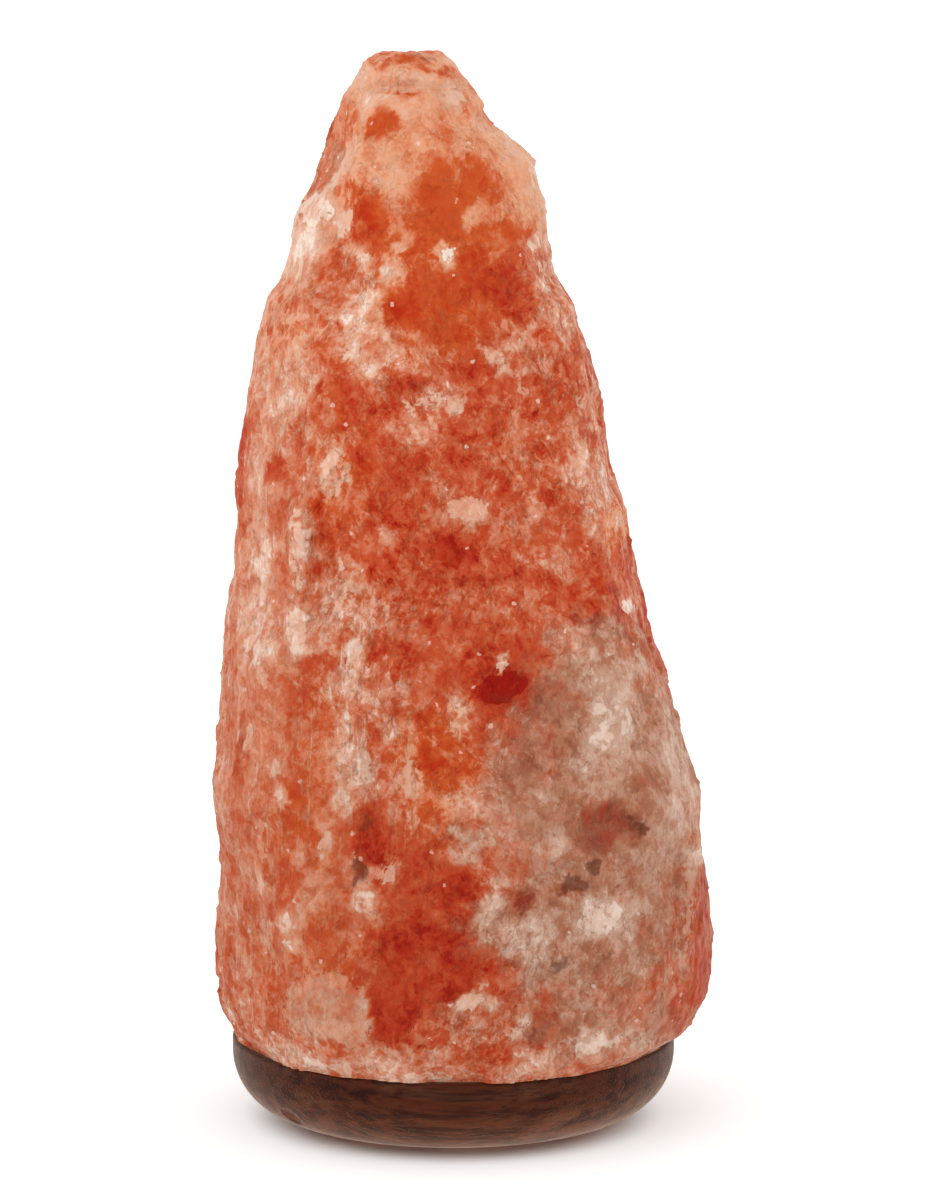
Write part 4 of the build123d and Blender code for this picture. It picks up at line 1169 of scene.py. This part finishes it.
def painted_fields(places, front, studio):
    """The fields behind the rock's colours: drawn patches on the front, wild ones elsewhere."""
    noise.seed_set(RAGGED_SEED)
    ragged = np.array([
        sum((noise.noise_vector(Vector(p) * waves) * reach for waves, reach in RAGS), Vector())
        for p in places
    ])
    broad = seen_at(on_crystals(places, *BROAD_CRYSTALS), studio) + ragged[:, ::2]
    fine = seen_at(on_crystals(places, *FINE_CRYSTALS), studio) + ragged[:, ::2] * CHIP_RAGS
    skewed = places @ SKEW + ragged * SKEW_BEND
    fields = {}
    for turn, (name, (start, low, high)) in enumerate(FIELDS.items()):
        away = Vector((3.1 * turn + 1.7, 0.4, 0.9))
        wild = np.array([noise.noise(Vector(p) * WILD_WAVES + away) for p in skewed])
        wild = low + (high - low) * smooth(*WILD_RISE, wild)
        drawn = painted(PATCHES[name] + (haloes() if name == "milk" else []), broad, start)
        fields[name] = drawn * front + wild * (1 - front)
    loose = np.array([noise.noise(Vector(p) * LOOSE_WAVES) for p in places])
    chip, fields["chalk"] = crisp_chips(fine)
    fields["chip"] = chip * front + LOOSE_SHARE * smooth(*LOOSE_RISE, loose) * (1 - front)
    return fields


def shape_front(rock, studio):
    """Moves the skin out or in at the named features, and stores the painted fields on it."""
    mesh = rock.data
    places, normals = points_of(mesh)
    pixels = seen_at(places, studio)
    sight = places - np.array(view_axes(studio)[0])
    sight /= np.linalg.norm(sight, axis=1)[:, None]
    front = smooth(*FRONT, -(sight * normals).sum(axis=1))
    flat = smooth(*UNDER, normals[:, 2])
    move = sum(rise * cover(pixels, *spot, SHAPE_SOFTNESS) for _, *spot, rise in SHAPES)
    shifted = places + normals * (move * front * (1 - flat) / 1000)[:, None]
    mesh.vertices.foreach_set("co", shifted.ravel())

    left = smooth(*RIB_SIDE, -normals[:, 0]) * smooth(*RIB_TOP, places[:, 2])
    low_left = cover(pixels, *RIB_PATCH) * front
    fields = {"calm": flat, "fibre": np.maximum(left, low_left) * (1 - flat)}
    fields.update(painted_fields(places, front, studio))
    for name, values in fields.items():
        layer = mesh.attributes.new(name, "FLOAT", "POINT")
        layer.data.foreach_set("value", values.astype(np.float32))


def close_underside(rock):
    """Cuts the rock flat, adds the room and the plug holes, and fills the underside around them."""
    bm = bmesh.new()
    bm.from_mesh(rock.data)
    whole = bm.verts[:] + bm.edges[:] + bm.faces[:]
    bmesh.ops.bisect_plane(
        bm, geom=whole, dist=1e-6, plane_co=(0, 0, CUT), plane_no=(0, 0, 1), clear_inner=True
    )
    rim = [e for e in bm.edges if e.is_boundary]
    sunk = bmesh.ops.extrude_edge_only(bm, edges=rim)["geom"]
    for corner in (g for g in sunk if isinstance(g, bmesh.types.BMVert)):
        corner.co.z = BOTTOM
    walls = bpy.data.meshes.new("room walls")
    inner = crystal_faces(inside=True)
    inner.to_mesh(walls)
    inner.free()
    bm.from_mesh(walls)
    bpy.data.meshes.remove(walls)
    open_edges = [e for e in bm.edges if e.is_boundary]
    bmesh.ops.triangle_fill(bm, edges=open_edges, use_beauty=True, normal=(0, 0, -1))
    bmesh.ops.recalc_face_normals(bm, faces=bm.faces)
    bm.to_mesh(rock.data)
    bm.free()


# The filament's open ring: height, radius, first angle and sweep in degrees, and how fine its coil is
FILAMENT_HEIGHT = 0.0845
FILAMENT_LOOP = 0.0075
FILAMENT_START = 310
FILAMENT_SWEEP = 280
POINTS_PER_TURN = 10


def coil_tree():
    """Geometry nodes that wind a fine wire into a coil around an open ring."""
    nodes, given = geometry_tree(
        "Coiled Filament", Turns="Float", Coil_Radius="Float", Loop_Radius="Float", Wire_Radius="Float",
        Start="Float", Sweep="Float", Height="Float", Points="Int",
    )
    line = nodes.add("GeometryNodeCurvePrimitiveLine").outputs[0]
    fine = nodes.add("GeometryNodeResampleCurve", {"Curve": line, "Count": given["Points"]}).outputs[0]
    along = nodes.add("GeometryNodeSplineParameter").outputs["Factor"]
    around = nodes.times_plus(along, given["Sweep"], given["Start"])
    wound = nodes.times(nodes.times(along, given["Turns"]), 2 * pi)
    away = nodes.times_plus(nodes.math("COSINE", wound), given["Coil Radius"], given["Loop Radius"])
    spot = nodes.add("ShaderNodeCombineXYZ", {
        "X": nodes.times(away, nodes.math("COSINE", around)),
        "Y": nodes.times(away, nodes.math("SINE", around)),
        "Z": nodes.times_plus(nodes.math("SINE", wound), given["Coil Radius"], given["Height"]),
    }).outputs[0]
    coil = nodes.add("GeometryNodeSetPosition", {"Geometry": fine, "Position": spot}).outputs[0]
    ring = {"Resolution": 6, "Radius": given["Wire Radius"]}
    ring = nodes.add("GeometryNodeCurvePrimitiveCircle", ring).outputs[0]
    wire = {"Curve": coil, "Profile Curve": ring, "Fill Caps": True}
    return finish_tree(nodes, given, nodes.add("GeometryNodeCurveToMesh", wire).outputs[0])


def coiled_filament(finish, material):
    """The bulb's filament, a fine coil on the open ring that the supports hold."""
    made = object_from(bmesh.new(), "coiled_filament")
    turns = round(FILAMENT_LOOP * radians(FILAMENT_SWEEP) / finish.coil_pitch)
    grow(
        made, coil_tree(), Turns=float(turns), Coil_Radius=finish.coil_radius, Loop_Radius=FILAMENT_LOOP,
        Wire_Radius=finish.filament_wire, Start=radians(FILAMENT_START), Sweep=radians(FILAMENT_SWEEP),
        Height=FILAMENT_HEIGHT, Points=turns * POINTS_PER_TURN, Material=material,
    )
    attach(made, "bulb")
    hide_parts("bulb_filament")


class LAMP_OT_rock(bpy.types.Operator):
    """Builds the rough salt crystal around the bulb's room"""

    bl_idname = "salt_lamp.rock"
    bl_label = "Salt Crystal"

    def execute(self, context):
        lamp = context.scene.salt_lamp
        sizes = lamp.rock
        rock = even_skin(sizes.face)
        shape_front(rock, lamp.studio)
        grow(
            rock, hewing_tree(), Swell_Size=sizes.swell_size, Swell_Depth=sizes.swell_depth,
            Facet_Size=sizes.facet_size, Facet_Depth=sizes.facet_depth, Chip_Size=sizes.chip_size,
            Chip_Depth=sizes.chip_depth, Grain_Size=sizes.grain_size, Grain_Depth=sizes.grain_depth,
            Seed=float(sizes.seed), Material=rock_salt(lamp.salt),
        )
        close_underside(rock)
        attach(rock, "lamp_body")
        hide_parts("salt_crystal")
        return {"FINISHED"}


class LAMP_OT_base(bpy.types.Operator):
    """Finishes the turned wooden base and its feet"""

    bl_idname = "salt_lamp.base"
    bl_label = "Wooden Base"

    def execute(self, context):
        lamp = context.scene.salt_lamp
        dress(stained_wood(lamp.wood), "wood_base")
        rubber = moulded("black_rubber", lamp.hardware.rubber, 0.7, 0.0002)
        dress(rubber, "foot_1", "foot_2", "foot_3", "foot_4")
        return {"FINISHED"}


class LAMP_OT_hardware(bpy.types.Operator):
    """Finishes the screws, the plugs, the spring clip and the lamp holder"""

    bl_idname = "salt_lamp.hardware"
    bl_label = "Hardware"

    def execute(self, context):
        finish = context.scene.salt_lamp.hardware
        steel = metal("zinc_steel", finish.steel, 0.3, 0.3)
        dress(steel, "base_screws", "terminal_screws", "clip_screw", "clip_nut")
        spring = metal("spring_steel", finish.spring, 0.28, 0.5)
        dress(spring, "clip_collar", "clip_wing_left", "clip_wing_right")
        brass = metal("brass", finish.brass, 0.26, 0.4)
        dress(brass, "thread_shell", "shell_rivets", "contact_foot", "contact_tongue", "terminal_blocks")
        dress(moulded("grey_plug", finish.plug, 0.5, 0.00015), "screw_plugs", "cord_lock_screw")
        dress(moulded("black_plastic", finish.plastic, 0.4, 0.00012), "holder_cap", "holder_barrel")
        dress(moulded("white_ceramic", finish.ceramic, 0.25, 0.00008, 0.6), "holder_core")
        return {"FINISHED"}


class LAMP_OT_bulb(bpy.types.Operator):
    """Finishes the bulb"""

    bl_idname = "salt_lamp.bulb"
    bl_label = "Bulb"

    def execute(self, context):
        finish = context.scene.salt_lamp.hardware
        dress(metal("lamp_cap_metal", finish.nickel, 0.25, 0.3), "bulb_cap")
        dress(lamp_glass("clear_glass", (0.99, 0.99, 0.99), 0.04), "bulb_glass")
        dress(lamp_glass("stem_glass", (0.95, 0.98, 0.96), 0.06), "bulb_stem")
        dress(moulded("black_glass", (0.06, 0.05, 0.08), 0.15, 0.00004, 0.5), "bulb_insulator")
        dress(metal("solder", (0.74, 0.74, 0.74), 0.4, 0.5), "bulb_contact")
        dress(metal("wire", (0.72, 0.68, 0.6), 0.3, 0.3), "bulb_leads", "bulb_supports")
        tungsten = metal("tungsten", finish.tungsten, 0.4, 0.3)
        dress(tungsten, "bulb_filament")
        coiled_filament(finish, tungsten)
        return {"FINISHED"}


# The studio in metres: half the width of its floor, the circle under the base where the floor gives no
# light of its own (inner and outer radius), and the point that the lights shine at
FLOOR_HALF = 16.0
FLOOR_SHADE = (0.05, 0.07)
LAMP_MIDDLE = Vector((0, 0, 0.17))


def studio_floor(studio):
    """A pale floor that lights itself where the camera sees it, and is clear from below."""
    bm = bmesh.new()
    bmesh.ops.create_grid(bm, x_segments=8, y_segments=8, size=FLOOR_HALF)
    floor = object_from(bm, "studio_floor")
    material, nodes, shader = new_material("studio_floor")
    paper = nodes.group("Mottle", Vector=nodes.place(), Scale=6.0)["Tone"]
    tone = nodes.mix(nodes.times(paper, 0.02), linear(studio.floor), (0.9, 0.9, 0.9, 1.0))
    seen = nodes.add("ShaderNodeLightPath").outputs["Is Camera Ray"]
    beside = nodes.step(nodes.vector("LENGTH", nodes.place()), *FLOOR_SHADE)
    lift = nodes.times(beside, studio.lift)
    nodes.feed_all(
        shader, Base_Color=tone, Roughness=0.9, Specular_IOR_Level=0.1,
        Emission_Color=(1.0, 1.0, 1.0, 1.0), Emission_Strength=nodes.times(seen, lift),
    )
    below = nodes.add("ShaderNodeNewGeometry").outputs["Backfacing"]
    below = nodes.math("MAXIMUM", below, nodes.minus(1.0, seen))
    clear = nodes.add("ShaderNodeBsdfTransparent").outputs[0]
    shown = nodes.add("ShaderNodeMixShader", {0: below, 1: shader.outputs[0], 2: clear}).outputs[0]
    nodes.feed(material.node_tree.nodes["Material Output"].inputs["Surface"], shown)
    floor.data.materials.append(material)


def soft_light(name, spot, watts, size):
    """A square light that shines at the middle of the lamp and that the camera doesn't see."""
    data = bpy.data.lights.new(name, "AREA")
    data.energy = watts
    data.size = size
    light = in_scene(name, data)
    light.location = spot
    light.visible_camera = False
    light.rotation_euler = (LAMP_MIDDLE - Vector(spot)).to_track_quat("-Z", "Y").to_euler()


class LAMP_OT_studio(bpy.types.Operator):
    """Builds the pale floor, the soft lights and the camera"""

    bl_idname = "salt_lamp.studio"
    bl_label = "Studio"

    def execute(self, context):
        scene = context.scene
        studio = scene.salt_lamp.studio
        studio_floor(studio)
        soft_light("key light", (-0.7, -1.3, 1.3), studio.key, 1.2)
        soft_light("left light", (-1.5, 0.1, 0.5), studio.rim, 1.0)
        soft_light("right light", (1.5, 0.1, 0.5), studio.rim, 1.0)

        world = bpy.data.worlds.new("studio")
        world.use_nodes = True
        background = world.node_tree.nodes["Background"]
        background.inputs["Color"].default_value = (1.0, 1.0, 1.0, 1.0)
        background.inputs["Strength"].default_value = studio.sky
        scene.world = world

        stand, _, _, forward = view_axes(studio)
        data = bpy.data.cameras.new("camera")
        data.lens = studio.lens
        data.sensor_width = 36.0
        data.clip_end = 50.0
        camera = in_scene("camera", data)
        camera.location = stand
        camera.rotation_euler = forward.to_track_quat("-Z", "Y").to_euler()
        scene.camera = camera
        scene.view_settings.view_transform = "Standard"
        return {"FINISHED"}


class LAMP_PT_panel(bpy.types.Panel):
    """Buttons for the lamp's pieces and the sizes and colours behind them"""

    bl_label = "Salt Crystal Lamp"
    bl_idname = "LAMP_PT_panel"
    bl_space_type = "VIEW_3D"
    bl_region_type = "UI"
    bl_category = "Salt Lamp"

    def draw(self, context):
        lamp = context.scene.salt_lamp
        for label, operator, group in (
            ("Salt Crystal", "salt_lamp.rock", lamp.rock),
            ("Salt Colours", None, lamp.salt),
            ("Wooden Base", "salt_lamp.base", lamp.wood),
            ("Hardware", "salt_lamp.hardware", lamp.hardware),
            ("Bulb", "salt_lamp.bulb", None),
            ("Studio", "salt_lamp.studio", lamp.studio),
        ):
            box = self.layout.box()
            box.label(text=label)
            if operator:
                box.operator(operator)
            if group:
                for name in group.__annotations__:
                    box.prop(group, name)


CLASSES = (
    RockSizes, RockColours, WoodFinish, HardwareFinish, StudioLight, SaltLamp,
    LAMP_OT_rock, LAMP_OT_base, LAMP_OT_hardware, LAMP_OT_bulb, LAMP_OT_studio, LAMP_PT_panel,
)


def register():
    for kind in CLASSES:
        bpy.utils.register_class(kind)
    bpy.types.Scene.salt_lamp = PointerProperty(type=SaltLamp)


def unregister():
    del bpy.types.Scene.salt_lamp
    for kind in reversed(CLASSES):
        bpy.utils.unregister_class(kind)


def main():
    """Builds every piece in order."""
    register()
    bpy.ops.salt_lamp.rock()
    bpy.ops.salt_lamp.base()
    bpy.ops.salt_lamp.hardware()
    bpy.ops.salt_lamp.bulb()
    bpy.ops.salt_lamp.studio()


if __name__ == "__main__":
    main()
